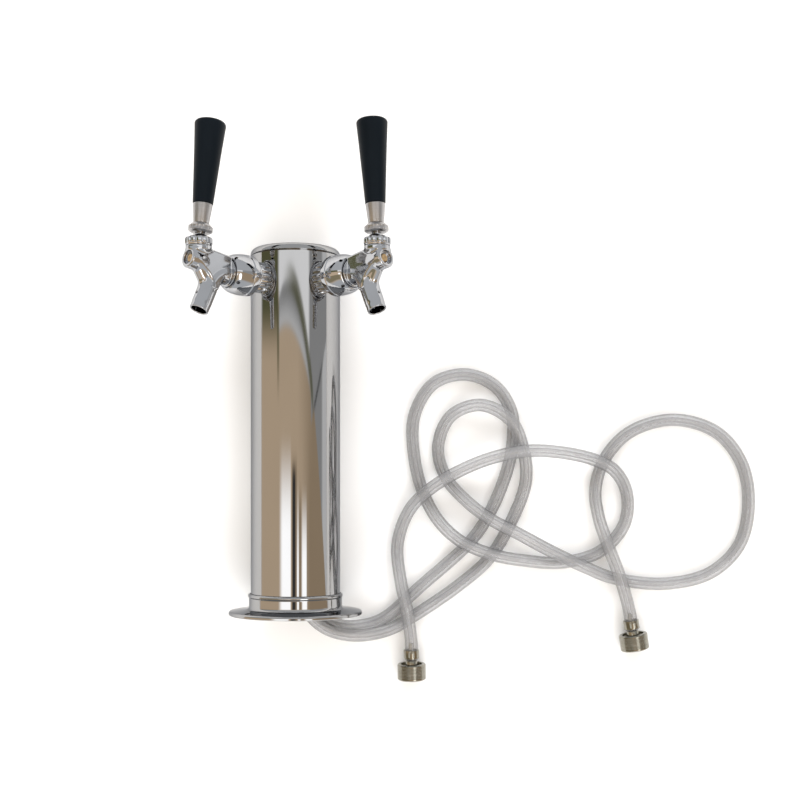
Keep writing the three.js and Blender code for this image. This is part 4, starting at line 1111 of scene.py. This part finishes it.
near_wall = walls((-96, WHITE), (-89, TAN), (10, TAN), (50, BROWN), (90, BROWN), (97, WHITE))
low_wall = walls((-96, WHITE), (-89, TAN), (20, TAN), (42, BROWN), (90, BROWN), (97, WHITE))
side_wall = walls(
    (-95, WHITE), (-87, OLIVE), (-39, OLIVE), (-25, PALE), (-10, PALE), (12, GREY), (90, GREY), (97, WHITE)
)
far_wall = walls(
    (-110, PALE), (-98, OLIVE), (-42, OLIVE), (-36, CLOTH), (37, CLOTH), (42, GREY), (74, GREY), (79, PALE),
    (110, PALE),
)
outer = rise - 9.6 + (swing + 12) ** 2 * 0.00145
inner = rise - 7.42 + (swing + 19) ** 2 * 0.00078
eaves = rise - 3.55 - (swing - 52.5) / 12.0
middle = ramp(inner, -0.3, 0.3) * ramp(eaves, -0.12, 0.12) * ramp(swing, -41, -36)
sheen = fall(inner, 0.1, 1.5) * ramp(swing, 20, 50, 1.0, 0.35)
outline = fall(abs(outer + 0.1), 0.3, 1.0) * ramp(swing, -32, 8) * fall(swing, 46, 54)
edge = fall(abs(swing + 40), 1.5, 4.5) * ramp(rise, 3.5, 6.5) * fall(rise, 8.0, 9.0)
post = fall(abs(eaves), 0.08, 0.3) * ramp(rise, 3.3, 3.8) * fall(rise, 5.0, 6.2) * ramp(swing, 46, 54)
over_head = fall(rise, -9.6, -8.0)
studio = low_wall
for mask, paint in (
    (ramp(rise, -1.5, 4.5), near_wall),
    (ramp(rise, 5.6, 8.4) * fall(swing, -42, -38), side_wall),
    (middle, GREY),
    (middle * sheen * 0.75, WHITE),
    (ramp(outer, -0.15, 0.15) * ramp(swing, -41, -36), far_wall),
    (ramp(eaves, -0.1, 0.1) * ramp(swing, 43, 46), side_wall),
    (ramp(rise, 9.0, 9.9), far_wall),
    (outline * 0.85, OLIVE),
    (edge * 0.7, OLIVE),
    (post * 0.9, BLACK),
    (hung(-33, -7, 6, 2.6, -2.4), LAMPLIT),
    (hung(-3.5, 8.5, 2, 1.7, 0.4), BROWN),
    (hung(-3, 4.5, 1.5, 1.3, 0.2), BLACK),
    (hung(8.5, 13.5, 1.5, 0.6, -4.6), LAMPLIT),
    (hung(13.5, 19.5, 1.5, 0.4, -1.6), BROWN),
    (hung(21, 33, 2.5, 0.2, -3.8), LAMPLIT),
    (fall(abs(swing - 26), 6, 12) * over_head * ramp(rise, -44, -36), DAZZLE),
    (fall(swing, -24, -10) * over_head * ramp(rise, -40, -30) * 0.7, OLIVE),
    (ramp(rise, 12.5, 16.5) + fall(rise, -44, -32), HAZE),
):
    studio = blend(sky, mask, studio, paint)
sky.end("ShaderNodeOutputWorld", sky.add("ShaderNodeBackground", {"Color": studio, "Strength": 1.42}))
bpy.context.scene.view_settings.view_transform = "Standard"

# %% Lamps
LAMP_COLOUR, LAMP_AIM = (0.97, 0.985, 1.0), Vector((0.1, 0, 0))
for name, place, power in (("far_cloth", (0.1, 1.7, 1.5), 34), ("near_cloth", (0.1, -1.7, 1.5), 32)):
    data = bpy.data.lights.new(name, "AREA")
    data.shape = "RECTANGLE"
    data.size, data.size_y = 2.4, 1.0
    data.energy = power
    data.color = LAMP_COLOUR
    obj = new_object(name, data)
    obj.location = place
    obj.rotation_euler = (LAMP_AIM - Vector(place)).to_track_quat("-Z", "Y").to_euler()
    obj.visible_glossy = False
